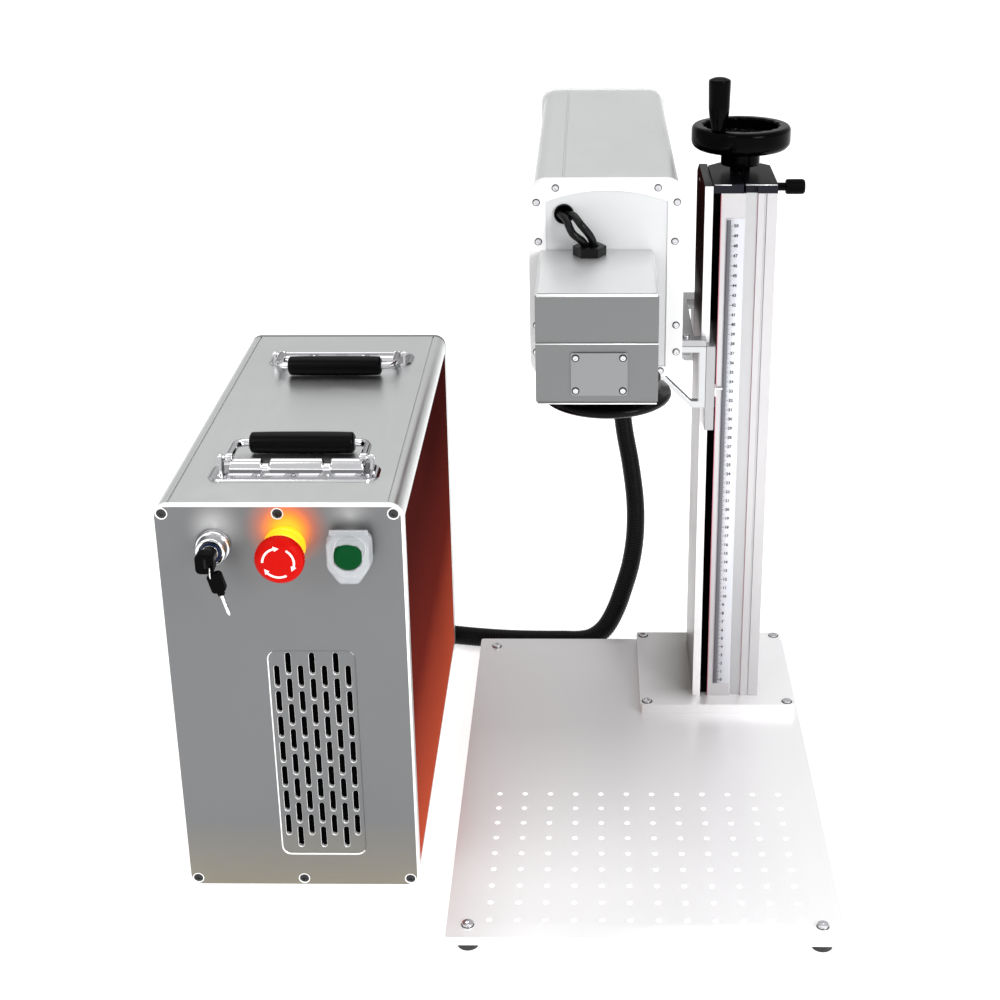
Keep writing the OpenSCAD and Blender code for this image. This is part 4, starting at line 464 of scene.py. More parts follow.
def rounded_corners(profile, radius, steps=4):
    """The open outline with each inner corner replaced by an arc-like curve of the given reach (a number or
    one for each corner): the quadratic blend of its two neighbours at that reach and the corner itself."""
    profile = np.asarray(profile, float)
    reach = np.broadcast_to(np.asarray(radius, float), (len(profile),))
    out = [profile[0]]
    for before, here, after, r in zip(profile[:-2], profile[1:-1], profile[2:], reach[1:-1]):
        la, lb = np.linalg.norm(before - here), np.linalg.norm(after - here)
        r = min(r, 0.49 * la, 0.49 * lb)
        if r <= 0:
            out.append(here)
            continue
        a, b = here + (before - here) / la * r, here + (after - here) / lb * r
        t = np.linspace(0, 1, steps + 1)[:, None]
        out.extend(list((1 - t) ** 2 * a + 2 * t * (1 - t) * here + t ** 2 * b))
    out.append(profile[-1])
    return np.array(out)


def arc(u, v, r, start=0.0, end=TURN, count=25):
    """Points of a circle about (u, v): u plus r times the angle's cosine, v plus r times its sine."""
    return [(u + r * math.cos(a), v + r * math.sin(a)) for a in np.linspace(start, end, count)]


def rounded_rectangle(half_w, half_h, r, steps=5):
    """Outline of a rectangle about the origin: quarter circles of radius r at its four corners."""
    corners = ((half_w - r, half_h - r), (r - half_w, half_h - r), (r - half_w, r - half_h), (half_w - r, r - half_h))
    return [point for k, (u, v) in enumerate(corners)
            for point in arc(u, v, r, k * TURN / 4, (k + 1) * TURN / 4, steps)]


def densified(outline, pieces):
    """The outline with each stretch cut into pieces(its length) equal ones."""
    dense = []
    for a, b in zip(outline[:-1], outline[1:]):
        dense.extend(np.linspace(a, b, pieces(np.linalg.norm(b - a)), endpoint=False))
    return np.array(dense + [outline[-1]])


def carried(name, path, radii, sides):
    """Tube with closed ends: a circle of radii[i] at each point of the path, square to it, carried without
    twist."""
    path = np.asarray(path, float)
    radii = np.broadcast_to(np.asarray(radii, float), (len(path),))
    way = np.gradient(path, axis=0)
    way /= np.linalg.norm(way, axis=1)[:, None]
    side = np.zeros_like(path)
    start = np.cross(way[0], [0.31, 0.52, 0.79])
    side[0] = start / np.linalg.norm(start)
    for i in range(1, len(path)):
        s = side[i - 1] - way[i] * np.dot(side[i - 1], way[i])
        side[i] = s / np.linalg.norm(s)
    other = np.cross(way, side)
    a = np.arange(sides) / sides * TURN
    ring = np.cos(a)[None, :, None] * side[:, None, :] + np.sin(a)[None, :, None] * other[:, None, :]
    points = path[:, None, :] + radii[:, None, None] * ring
    faces = grid_faces(len(path), sides, wrap_cols=True)
    faces += [list(range(sides)), list(range((len(path) - 1) * sides, len(path) * sides))]
    return outward(mesh_from(name, points, faces))


def joined(name, meshes):
    """One mesh from several."""
    work = bmesh.new()
    for mesh in meshes:
        work.from_mesh(mesh)
        bpy.data.meshes.remove(mesh)
    whole = bpy.data.meshes.new(name)
    work.to_mesh(whole)
    work.free()
    return whole


def prism(name, outline, axis, low, high):
    """Straight prism: the closed outline in the two other axes, from low to high along the axis."""
    outline = np.asarray(outline, float)
    n = len(outline)
    points = spread(axis, outline[:, 0], outline[:, 1], np.array([[low], [high]]))
    faces = grid_faces(2, n, wrap_cols=True) + [list(range(n)), list(range(n, 2 * n))]
    return outward(mesh_from(name, points, faces))


def thick_ring(name, outer, inner, axis, low, high):
    """Plate with one hole: both loops are resampled to the same number of points at even angles round the
    hole's middle, and walls and faces run between the four loops."""
    middle = np.asarray(inner, float).mean(0)
    count = 64
    wanted = np.arange(count) / count * TURN

    def around(loop):
        loop = np.asarray(loop, float)
        angle = np.mod(np.arctan2(loop[:, 1] - middle[1], loop[:, 0] - middle[0]), TURN)
        order = np.argsort(angle)
        angle, loop = angle[order], loop[order]
        angle = np.concatenate([angle - TURN, angle, angle + TURN])
        loop = np.concatenate([loop, loop, loop])
        return np.stack([np.interp(wanted, angle, loop[:, k]) for k in range(2)], -1)

    points = [spread(axis, *around(loop).T, level)
              for loop, level in ((outer, low), (outer, high), (inner, high), (inner, low))]
    return outward(mesh_from(name, points, grid_faces(4, count, wrap_rows=True, wrap_cols=True)))


def eased(piece, width, segments, angle=35.0, shortest=0.0):
    """Rounds the edges that turn more than the angle and aren't shorter than asked, by a live Bevel."""
    mesh = piece.data
    work = bmesh.new()
    work.from_mesh(mesh)
    weight = work.edges.layers.float.new("bevel_weight_edge")
    least = math.radians(angle)
    for edge in work.edges:
        sharp = len(edge.link_faces) == 2 and edge.calc_face_angle(0.0) > least
        edge[weight] = 1.0 if sharp and edge.calc_length() >= shortest else 0.0
        edge.smooth = not sharp
    work.to_mesh(mesh)
    work.free()
    bevel = piece.modifiers.new("eased_edges", "BEVEL")
    bevel.width, bevel.segments = width, segments
    bevel.limit_method = "WEIGHT"
    bevel.harden_normals = True
    bevel.use_clamp_overlap = True


def flat_quads(name, boxes, y_front, y_back, finish, body, node=None):
    """Thin upright plates as one piece: each box is (x0, z0, x1, z1), between two depths."""
    b = np.asarray(boxes, float)
    x = b[:, [0, 2, 2, 0]]
    z = b[:, [1, 1, 3, 3]]
    n = len(b)
    points = np.zeros((n, 2, 4, 3))
    points[..., 0], points[..., 2] = x[:, None, :], z[:, None, :]
    points[:, 0, :, 1], points[:, 1, :, 1] = y_front, y_back
    base = (np.arange(n) * 8)[:, None, None]
    cube = np.array([[0, 1, 2, 3], [7, 6, 5, 4], [0, 4, 5, 1], [1, 5, 6, 2], [2, 6, 7, 3], [3, 7, 4, 0]])
    shown(mesh_from(name, points, (base + cube[None]).reshape(-1, 4).tolist()), finish, body, node, 0)


def faces_of(mesh):
    """Centre and outward direction of each face."""
    at, way = np.zeros(len(mesh.polygons) * 3), np.zeros(len(mesh.polygons) * 3)
    mesh.polygons.foreach_get("center", at)
    mesh.polygons.foreach_get("normal", way)
    return at.reshape(-1, 3), way.reshape(-1, 3)


def dressed(node, body, finish, width, zones=None, segments=2, shortest=0.0):
    """A CAD node's shape with its doubles merged, its flat neighbours joined and its edges eased; zones picks
    each face's finish from its centre and direction."""
    work = bmesh.new()
    work.from_mesh(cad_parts[node].data)
    bmesh.ops.remove_doubles(work, verts=work.verts, dist=2e-6)
    bmesh.ops.dissolve_limit(work, angle_limit=math.radians(0.6), verts=work.verts, edges=work.edges)
    mesh = bpy.data.meshes.new(node + "_dressed")
    work.to_mesh(mesh)
    work.free()
    piece = shown(mesh, finish, body, node, smooth_angle=0)
    if zones is not None:
        picked = np.asarray(zones(*faces_of(mesh)), np.int32)
        mesh.polygons.foreach_set("material_index", picked)
    eased(piece, width, segments, shortest=shortest)


def finish_node(node, finish):
    """Gives a carried-over CAD node its finish."""
    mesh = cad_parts[node].data
    mesh.materials.clear()
    mesh.materials.append(finish.mat)


# ---------------------------------------------------------------- cords
HOSE_D, RIB_PITCH, RIB_DEPTH = 0.0225, 0.0034, 0.0007
HEAD_END = np.array([88.8, 395.0, 491.0])
DROP_ROUTE = [
    HEAD_END, HEAD_END + (0, 22.5, 0), (89, 440, 485), (90, 456, 468), (92, 464, 443), (96, 465, 410),
    (100, 459, 365), (103.5, 447, 322), (107, 430, 280), (111.5, 407, 240), (116, 379, 200), (124, 347, 162),
    (129, 315, 127), (128.5, 283, 98), (123, 253, 73), (114, 226, 53), (104, 203, 35), (92, 185, 21),
    (78, 174, 14), (62, 170, 11.75), (42, 170, 11.75)]
COIL_CENTRE, COIL_R, COIL_PITCH, COIL_TURNS = np.array([-236.0, 325.0, 11.75]), 108.0, 23.5, 2.75
CABINET_END = np.array([-110.1, 199.9, 60.0])


def smooth_route(points, count):
    """Catmull-Rom curve through the points: each stretch blends its four neighbours, end points doubled."""
    p = np.asarray(points, float)
    n = len(p) - 1
    u = np.linspace(0, n, count)
    i = np.minimum(u.astype(int), n - 1)
    t = (u - i)[:, None]
    a, b, c, d = p[np.maximum(i - 1, 0)], p[i], p[i + 1], p[np.minimum(i + 2, n)]
    return b + t * ((c - a) / 2 + t * (a - 2.5 * b + 2 * c - d / 2 + t * (1.5 * (b - c) + (d - a) / 2)))


def coil_points(t):
    """The coil: it spirals in for half its turns, climbs a layer and spirals out again, clockwise."""
    mid = COIL_TURNS / 2
    r = COIL_R + COIL_PITCH * (np.abs(t - mid) - mid / 2)
    climb = np.clip((t - mid) * 2 + 0.5, 0, 1)
    a = math.radians(-90) - TURN * t
    return COIL_CENTRE + np.stack([r * np.cos(a), r * np.sin(a), COIL_PITCH * climb], -1)


def even_steps(path, step):
    """The path resampled at even distances along it."""
    along = np.concatenate([[0], np.cumsum(np.linalg.norm(np.diff(path, axis=0), axis=1))])
    wanted = np.linspace(0, along[-1], int(round(along[-1] / step)) + 1)
    return np.stack([np.interp(wanted, along, path[:, k]) for k in range(3)], -1), wanted


def make_hose():
    """Corrugated hose from the head to the cabinet: its radius dips by the rib depth between the ribs."""
    coil = coil_points(np.linspace(0, COIL_TURNS, 300))
    lead = HOSE_D / MM
    coil_in, coil_out = coil[0] + (lead, 0, 0), coil[-1] - (0, lead, 0)
    floor_route = [
        (42, 170, 11.75), (22, 170, 11.75), (-10, 171, 11.75), (-40, 174, 11.75), (-70, 179, 11.75),
        (-98, 185, 11.75), (-130, 192, 11.75), (-160, 198, 11.75), coil_in + (lead, 0, 0), coil_in]
    tail_route = [
        coil_out, coil_out - (0, lead, 0), (-112, 268, 38), (-111.5, 256, 44), (-111, 243, 52),
        (-110.5, 232, 58), CABINET_END + (0, lead, 0), CABINET_END]
    path = np.concatenate([
        smooth_route(DROP_ROUTE, 240)[:-1], smooth_route(floor_route, 120), coil[1:-1],
        smooth_route(tail_route, 120)]) * MM
    rings, along = even_steps(path, RIB_PITCH / 4)
    wave = 0.5 + 0.5 * np.cos(along / RIB_PITCH * TURN)
    radii = HOSE_D / 2 - RIB_DEPTH * (1 - wave)
    mesh = carried("corrugated_hose", rings, radii, sides=18)
    hose = shown(mesh, hose_nylon, None, ("hose_drop", "hose_floor", "hose_coil"), 0)
    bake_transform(hose)


CABLE_D = 0.007


def make_scan_cables():
    """Two plain cables from the front cap's grommet down into the scan head's gland."""
    middle, front, hole_aside = HEAD_X / MM, HEAD_FRONT / MM, 38.2
    hole_x, hole_z, gland_top, gland_depth = middle - hole_aside, HEAD_BASE / MM + 154.0, 560.7, 8
    gland_x, gland_y = middle - 0.4 * hole_aside, front - 26 / math.sqrt(3) - 0.7
    rise = hole_z - gland_top
    for side, word in ((-1, "left"), (1, "right")):
        shift = side * (CABLE_D / MM / 2 + 0.3)
        route = [
            (hole_x + shift, front + 15, hole_z), (hole_x + shift, front, hole_z),
            (hole_x + shift + rise / 6, gland_y + rise * 0.15, hole_z - rise / 40 + shift / 3),
            ((hole_x + gland_x) / 2 + shift, gland_y - rise / 6, hole_z - rise / 4 + shift),
            (gland_x + shift - rise / 12, gland_y - rise / 12, gland_top + rise * 0.45 + shift / 2),
            (gland_x + shift, gland_y, gland_top + rise / 5), (gland_x + shift, gland_y, gland_top - gland_depth)]
        rings, along = even_steps(smooth_route(route, 200) * MM, 0.0012)
        mesh = carried("scan_cable_" + word, rings, CABLE_D / 2, sides=20)
        cable = shown(mesh, cable_black, "lift", "scan_cables", 0)


make_hose()
make_scan_cables()


# ---------------------------------------------------------------- screws
def hex_radius(a, flat):
    """Radius of a hexagon with half width flat at angle a."""
    return flat / np.cos((a + TURN / 12) % (TURN / 6) - TURN / 12)


def socket_screws(name, spots, axis, sizes, finish, body, node, sign=1):
    """Cap screws in one mesh: rings run from the socket's floor up its six walls, over the chamfered rim and
    down the head's side to its underside. Each spot is the middle of the head's seat; the sizes are the head's
    radius and height and the socket's half width, in millimetres."""
    head_r, head_h, socket_r = mm(sizes)
    steps = 48
    a = np.arange(steps) / steps * TURN
    six = hex_radius(a, socket_r)
    edge = head_r * 0.08
    rings = [
        (0, 0.45 * head_h), (six, 0.45 * head_h), (six, head_h), (six + edge, head_h),
        (head_r - 1.5 * edge, head_h), (head_r - 0.4 * edge, head_h - 0.4 * edge), (head_r, head_h - 1.5 * edge),
        (head_r, 0.12 * head_h), (head_r - edge, 0.0), (0, 0.0)]
    base = np.array([spread(axis, r * np.cos(a), r * np.sin(a), sign * h) for r, h in rings])
    faces = grid_faces(len(rings), steps, wrap_cols=True)
    meshes = [outward(mesh_from(name, base + np.asarray(spot, float), faces)) for spot in spots]
    shown(joined(name, meshes), finish, body, node, 30)


def sunk_rings(name, spots, axis, radii, body, sign=1, finish=black_and_painted_shade):
    """Flat rings round screw heads, between two radii in millimetres, just proud of their face: painted shadow in the
    default black, painted highlight when given a bright finish.
    """
    (r_in, r_out), proud, under = radii, -sign * 0.2, sign * 0.05
    outline = mm([(r_in, proud), (r_out, proud), (r_out, under), (r_in, under), (r_in, proud)])
    meshes = [turned(name, outline, spot, axis, 40) for spot in spots]
    shown(joined(name, meshes), finish, body, None, 30)


def inset_corners(low, high, inset_x, inset_y):
    """The four spots on a box's top that lie in from its corners."""
    return [(x, y, high.z) for x in (low.x + inset_x, high.x - inset_x) for y in (low.y + inset_y, high.y - inset_y)]


# ---------------------------------------------------------------- stand
def make_stand():
    """Base plate with its hole walls painted pale and glowing as if lit, its feet, the column's flange and their
    screws.
    """
    low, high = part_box("base_plate")
    rim = 0.004

    def plate_zones(at, way):
        inside = (at[:, 0] > low.x + rim) & (at[:, 0] < high.x - rim)
        inside &= (at[:, 1] > low.y + rim) & (at[:, 1] < high.y - rim)
        return inside & (np.abs(way[:, 2]) < 0.5)

    dressed("base_plate", "stand", (plate_anodised, hole_wall_painted_light), 0.0007, plate_zones, shortest=0.0012)
    dressed("rubber_feet", "stand", rubber_black, 0.0012)
    dressed("column_flange", "stand", plate_anodised, 0.0008)
    for word, node, inset_x, inset_y, sizes, radii in (
            ("foot", "base_plate", 0.019, 0.018, (5, 2.8, 1.7), (4.7, 5.7)),
            ("flange", "column_flange", 0.0075, 0.0075, (4.8, 1.6, 2.4), (4.5, 5.8))):
        spots = inset_corners(*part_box(node), inset_x, inset_y)
        socket_screws(word + "_screws", spots, "z", sizes, screw_steel, "stand", "fixing_screws")
        # painted shadow rings round the foot and flange screws
        sunk_rings(word + "_screw_gaps", spots, "z", radii, "stand")


def make_column():
    """Column: painted shade in its slot and grooves, a painted red reflection on one groove wall and on its front
    edge, its cover with painted shade and reflection on its sides, and its cap with a painted highlight on its front
    edge and painted shade on its top.
    """
    low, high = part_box("column_profile")
    face = low.y
    groove, fine = (0.2238, 0.2359), (0.2417, 0.2444)
    # zones: plain metal, painted shade in black, painted shade in grey, painted red reflection
    plain, black, grey, pink = range(4)

    def profile_zones(at, way):
        x, sunk = at[:, 0], at[:, 1] - face
        zone = np.where((x < low.x + 0.0006) & (way[:, 0] < -0.5), black, plain)
        in_groove = (x > groove[0]) & (x < groove[1]) & (sunk < 0.004)
        zone = np.where(in_groove & (way[:, 1] < -0.5) & (sunk > 0.0005), grey, zone)
        zone = np.where(in_groove & (way[:, 0] < -0.5), pink, zone)
        zone = np.where(in_groove & (way[:, 0] > 0.5), grey, zone)
        in_fine = (x > fine[0]) & (x < fine[1]) & (sunk < 0.003)
        zone = np.where(in_fine & ((sunk > 0.0005) | (np.abs(way[:, 0]) > 0.5)), grey, zone)
        inside = ((way[:, 0] < -0.5) & (x < groove[0] - 0.002)) | ((way[:, 1] < -0.5) & (sunk > 0.012))
        return np.where(inside, black, zone)

    # cover: the front keeps its pale metal; the face towards -x gets painted shade and reflection, the face towards +x
    # painted shade in black, the top painted shade
    def cover_zones(at, way):
        side = np.where(way[:, 0] < -0.5, 1, np.where(way[:, 0] > 0.5, 2, 0))
        return np.where(way[:, 2] > 0.5, 3, side)

    dressed("column_profile", "stand", (column_anodised, black_and_painted_shade, groove_shade, groove_red_reflection), 0.0004,
            profile_zones)
    dressed("column_cover", "stand", (cover_pale, cover_anodised, black_and_painted_shade, cap_top_painted_shade), 0.0005,
            cover_zones)
    # painted shade on the cap's top faces
    dressed("column_top_cap", "stand", (cap_anodised, cap_top_painted_shade), 0.0007,
            lambda at, way: way[:, 2] > 0.7, segments=3)
    # painted red reflection: a thin strip along the profile's left front edge
    tint = [(low.x - 0.00001, low.z, low.x + 0.0009, high.z - 0.001)]
    flat_quads("column_edge_red_reflection", tint, face - 0.00004, face + 0.0003, groove_red_reflection, "stand")
    # painted highlight: a bright strip along the cap's front top edge, broken at the notch
    low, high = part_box("column_top_cap")
    notch = (0.21, 0.2235)
    rim = [(x0, high.z - 0.001, x1, high.z - 0.0002)
           for x0, x1 in ((low.x + 0.001, notch[0]), (notch[1], high.x - 0.001))]
    flat_quads("cap_edge_highlight", rim, low.y - 0.00003, low.y + 0.0005, painted_edge_highlight, "stand")
    # the cover screw's head is painted as a highlight
    spot = (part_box("column_cover")[0].x - 0.0002, 0.086, 0.579)
    dot = rounded_corners([(0, 1), (1.7, 1), (1.7, -0.3), (0, -0.5)], 0.4)
    shown(turned("cover_screw", mm(dot), spot, "x", 24), painted_edge_highlight, "stand", None, 30)
    finish_node("guide_rods", ground_steel)
    finish_node("end_blocks", black_and_painted_shade)


def written(text, size):
    """Flat mesh of a number in the built-in font, its middle left at the origin."""
    curve = bpy.data.curves.new("digits", "FONT")
    curve.body, curve.size = text, size
    curve.align_x, curve.align_y = "LEFT", "CENTER"
    curve.resolution_u = 2
    curve.offset = size * 0.03
    holder = bpy.data.objects.new("digits", curve)
    bpy.context.scene.collection.objects.link(holder)
    bpy.context.view_layer.update()
    mesh = bpy.data.meshes.new_from_object(holder.evaluated_get(bpy.context.evaluated_depsgraph_get()))
    bpy.data.objects.remove(holder)
    return mesh


def make_ruler():
    """Ruler with a grey edge band, a mark each millimetre, longer at five and ten, and a plain number each
    centimetre."""
    low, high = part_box("ruler_scale")
    front = low.y
    left, right, top = low.x + 0.0033, high.x, high.z - 0.002
    zero_z, band_w, length_mm, digit_size = 0.0518, 0.0042, 500, 0.0044
    ticks_x = left + band_w + 0.0008
    band = (left + 0.0006, low.z + 0.0005, left + band_w + 0.0006, top - 0.0015)
    marks = []
    for k in range(length_mm + 1):
        z = zero_z + k * MM
        reach = 0.0022 if k % 10 == 0 else 0.0013 if k % 5 == 0 else 0.0007
        half = 0.0002 if k % 5 == 0 else 0.0001
        marks.append((ticks_x, z - half, ticks_x + reach, z + half))
    for name, boxes, y_front, y_back, finish, node in (
            ("ruler_strip", [(left, low.z, right, top)], front, high.y, ruler_white, "ruler_scale"),
            ("ruler_band", [band], front - 0.0001, front + 0.0002, ruler_grey, None),
            ("ruler_marks", marks, front - 0.00014, front + 0.0002, ruler_ink, None)):
        flat_quads(name, boxes, y_front, y_back, finish, "stand", node)
    digits = []
    for k in range(length_mm // 10 + 1):
        mesh = written(str(k), digit_size)
        mesh.transform(Matrix(((1, 0, 0, ticks_x + 0.0028), (0, 0, -1, front - 0.0002),
                               (0, 1, 0, zero_z + 10 * k * MM), (0, 0, 0, 1))))
        digits.append(mesh)
    shown(joined("ruler_numbers", digits), ruler_ink, "stand", None, 0)


def make_lock_knob():
    """Lock screw: a plain stem and a knob whose radius ripples round its waist, as knurling does."""
    low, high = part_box("lock_knob")
    centre, r = (0, (low.y + high.y) / 2, (low.z + high.z) / 2), (high.y - low.y) / 2
    start = high.x - 0.0188
    stem = turned("lock_stem", [(0, low.x), (0.0025, low.x), (0.0025, start - 0.0078), (0.004, start - 0.0074),
                                (0.004, start), (0, start)], centre, "x", 40)
    outline = rounded_corners([(0, start), (r * 0.86, start), (r, start + 0.0016), (r, high.x - 0.0022),
                               (r * 0.84, high.x), (0, high.x)], 0.0012)
    dense = densified(outline, lambda length: 8 if length > 0.005 else 1)
    waist = dense[:, 0] > r * 0.97

    def knurling(a, k):
        return np.where(waist[k], -0.0005 * (0.5 + 0.5 * np.cos(24 * a)), 0.0)

    knob = turned("lock_body", dense, centre, "x", 192, knurling)
    shown(joined("lock_screw_knob", [stem, knob]), black_gloss, "lock_knob", "lock_knob", 50)


def make_handwheel():
    """Handwheel as one turned outline whose inner rim has eighteen shallow scallops: the inner radius grows by
    the absolute sine of nine times the angle. Near the grip the outer wall and top dip in a smooth hollow, the
    square of a cosine of the angle from the grip. The grip is a cylinder that narrows towards its foot.
    The wheel's numbers are millimetres from its axis and above the underside of its rim."""
    centre = (0.2226, 0.0684, 0.6145)
    rim_r, inner, top = 48.75, 36.25, 23
    grip_angle, hollow_half = math.radians(230), 0.55
    raw = [(0, -22), (10, -22), (10, -16), (19.2, -16), (19.2, -2), (24, 0), (44, 0), (rim_r, 5), (rim_r, top - 3),
           (rim_r - 2.2, top), (inner + 1.2, top), (inner, top - 1.6), (inner, 10.5), (inner - 3, 8), (20, 8),
           (17, 11.5), (0, 11.5)]
    reach = (0, 0.4, 1, 0.8, 3, 3, 4, 4, 1.6, 1.6, 0.6, 0.8, 3, 3, 2, 2, 0)
    dense = densified(rounded_corners(raw, reach), lambda length: max(1, int(length / 3)))
    r, h = dense[:, 0], dense[:, 1]
    scallop = (h > 9.5) & (r > inner - 4) & (r < inner + 3)
    wall = (r > rim_r - 7.5) & (h > 2)
    climb = np.clip((h - 2) / (top - 2), 0, 1)

    def shape(a, k):
        waves = np.where(scallop[k], 0.0016 * np.abs(np.sin(9 * a)), 0.0)
        off = np.abs((a - grip_angle + math.pi) % TURN - math.pi)
        hollow = np.where(off < hollow_half, np.cos(off / hollow_half * math.pi / 2) ** 2, 0.0)
        return waves - np.where(wall[k], 0.0052 * hollow * climb[k] ** 1.5, 0.0)

    mesh = turned("handwheel_turned", mm(dense), centre, "z", 288, shape)
    shown(mesh, black_gloss, "handwheel", "handwheel", 40)
    finish_node("lead_screw", ground_steel)
    low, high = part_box("handwheel_grip")
    r, h = (high.x - low.x) / 2, high.z - low.z
    outline = rounded_corners(
        [(0.0031, 0), (r * 0.66, 0), (r * 0.72, h * 0.1), (r * 0.94, h * 0.34), (r * 0.96, h * 0.62), (r, h * 0.9),
         (r * 0.98, h * 0.945), (r * 0.5, h * 0.99), (0, h)], mm((0, 0.8, 6, 8, 8, 1.2, 1.2, 4, 0)), 6)
    grip = turned("wheel_grip_turned", outline, ((low.x + high.x) / 2, (low.y + high.y) / 2, low.z), "z", 72)
    shown(grip, black_gloss, "wheel_grip", "handwheel_grip", 45)


# ---------------------------------------------------------------- lifting head
def make_lift():
    """Carriage, bracket and head with their screws, and the scan head with its plate and painted highlights along its
    edges; the front cap's sunk face gets painted shade and the scan head's top painted light.
    """
    cap_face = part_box("head_front_cap")[0].y

    # painted shade on the front cap's sunk face
    def cap_zones(at, way):
        return (way[:, 1] < -0.5) & (at[:, 1] > cap_face + 0.0006) & (at[:, 1] < cap_face + 0.0014)

    # painted light on the scan cover's top
    def top_zones(at, way):
        return way[:, 2] > 0.7

    for node, finish, width, slot, zones, segments in (
            ("carriage", bracket_metal, 0.0006, "anodised", None, 2),
            ("head_bracket", bracket_metal, 0.0006, "anodised", None, 2),
            ("bracket_gussets", gusset_metal, 0.0006, "gusset", None, 2),
            ("ruler_pointer", white_paint, 0.0003, "white", None, 2),
            ("head_shell", head_satin, 0.0006, "head_metal", None, 2),
            ("head_side_panels", red_gloss, 0.0005, "red_panel", None, 2),
            ("head_front_cap", (white_paint, white_painted_shade), 0.0009, "white", cap_zones, 3),
            ("head_rear_cap", white_paint, 0.0012, "white", None, 3),
            ("scan_housing", scan_cast, 0.0006, "scan_silver", None, 2),
            ("scan_cover", (scan_cast, scan_top_painted_light), 0.0006, "scan_silver", top_zones, 2),
            ("head_glands", plastic_black, 0.0006, "black_plastic", None, 2)):
        dressed(node, "lift", finish, width, zones, segments)
    for node, finish in (("rod_bushes", brass_turned), ("lead_nut", brass_turned), ("beam_isolator", cap_anodised),
                         ("galvo_motors", cap_anodised), ("x_mirror", mirror_coat), ("y_mirror", mirror_coat)):
        finish_node(node, finish)
    low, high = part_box("scan_cover")
    # painted highlights: bright bands along the scan head's top edge, seam and base
    bands = [(low.x + inset, z0, high.x - inset, z1) for inset, z0, z1 in (
        (0.0012, high.z - 0.003, high.z - 0.0004), (0.0003, SCAN_SEAM - 0.0006, SCAN_SEAM + 0.0003),
        (0.001, SCAN_BASE + 0.0003, SCAN_BASE + 0.0014))]
    flat_quads("scan_head_edge_highlights", bands, low.y - 0.00003, low.y + 0.0004, painted_edge_highlight, "lift")
    cap_w, cap_h = 0.1401, 0.1836
    shares = ((0.653, 0.967), (0.899, 0.896), (0.877, 0.7), (0.912, 0.271), (0.92, 0.13), (0.713, 0.03))
    spots = [(HEAD_X + side * s * cap_w / 2, HEAD_BASE + t * cap_h) for s, t in shares for side in (-1, 1)]
    cap_spots = [(x, HEAD_FRONT, z) for x, z in spots]
    back_spots = [(x, HEAD_BACK, z) for x, z in spots]
    plate_x, plate_z, plate_y = 0.0718 + 0.116 * 0.085, SCAN_BASE + 0.0271, -0.2517
    plate = [(plate_z + v, plate_x + u) for u, v in rounded_rectangle(0.024, 0.019, 0.002)]
    shown(prism("scan_plate", plate, "y", plate_y - 0.0001, plate_y + 0.0014), plate_bare, "lift",
          None, 30)
    plate_spots = [(plate_x + i * 0.02, plate_y - 0.0001, plate_z + j * 0.0146) for i in (-1, 1) for j in (-1, 1)]
    low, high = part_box("head_bracket")
    mouth, inset = 0.1766 - 0.0075, 0.0125
    mouth_spots = [(mouth, low.y + inset, high.z), (mouth, high.y - inset, high.z)]
    for name, where, axis, sizes, finish, sign in (
            ("front_cap_screws", cap_spots, "y", (2.7, 1.2, 1.2), screw_steel, -1),
            ("rear_cap_screws", back_spots, "y", (2.5, 1.6, 1), screw_black, 1),
            ("scan_plate_screws", plate_spots, "y", (2.4, 0.8, 1.1), screw_steel, -1),
            ("bracket_screws", mouth_spots, "z", (3.5, 1.6, 1.5), screw_steel, 1)):
        socket_screws(name, where, axis, sizes, finish, "lift", "head_screws", sign)
    # painted shadow rings round the front cap's and scan plate's screws
    sunk_rings("front_cap_screw_gaps", cap_spots, "y", (2.5, 3.4), "lift", -1)
    sunk_rings("scan_plate_screw_gaps", plate_spots, "y", (2.1, 3.3), "lift", -1)


def make_lens():
    """Lens barrel as one smooth turned outline, and two glasses with domed faces. The barrel's numbers are
    millimetres from its axis and above its lower end."""
    low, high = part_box("lens_barrel")
    x, y = (low.x + high.x) / 2, (low.y + high.y) / 2
    top, seam = (high.z - low.z) / MM, (SCAN_BASE - low.z) / MM - 0.2
    ring_r, neck_r, step, glass_r = 58, 48, 2.75, 0.0417
    outline = rounded_corners(
        [(42, top), (45, top), (45, seam), (neck_r, seam), (neck_r, 13.2), (ring_r - 1.5, 9.2), (ring_r, 6.6),
         (ring_r - 1, 3.4), (ring_r - 5.2, 0.6), (ring_r - 8.5, 0), (40.5, 0), (39, 0.9), (39, step), (42, step),
         (42, top)], (0, 0, 0, 0.3, 1, 2, 2, 2, 2, 2, 0.6, 0.4, 0, 0, 0), 5)
    shown(turned("lens_barrel_turned", mm(outline), (x, y, low.z), "z", 144), lens_anodised, "lift",
          "lens_barrel", 40)
    rad = np.linspace(0, glass_r, 14)
    dome = 0.0012 * (1 - (rad / glass_r) ** 2)
    shape = [(q, 0.0013 - d) for q, d in zip(rad, dome)] + [(q, 0.0055 + d) for q, d in zip(rad[::-1], dome[::-1])]
    glasses = [turned("glass", shape, (x, y, low.z + start * MM), "z", 96) for start in (step, 2 * step + 7)]
    shown(joined("lens_glasses", glasses), lens_coat, "lift", "lens_glass", 40)


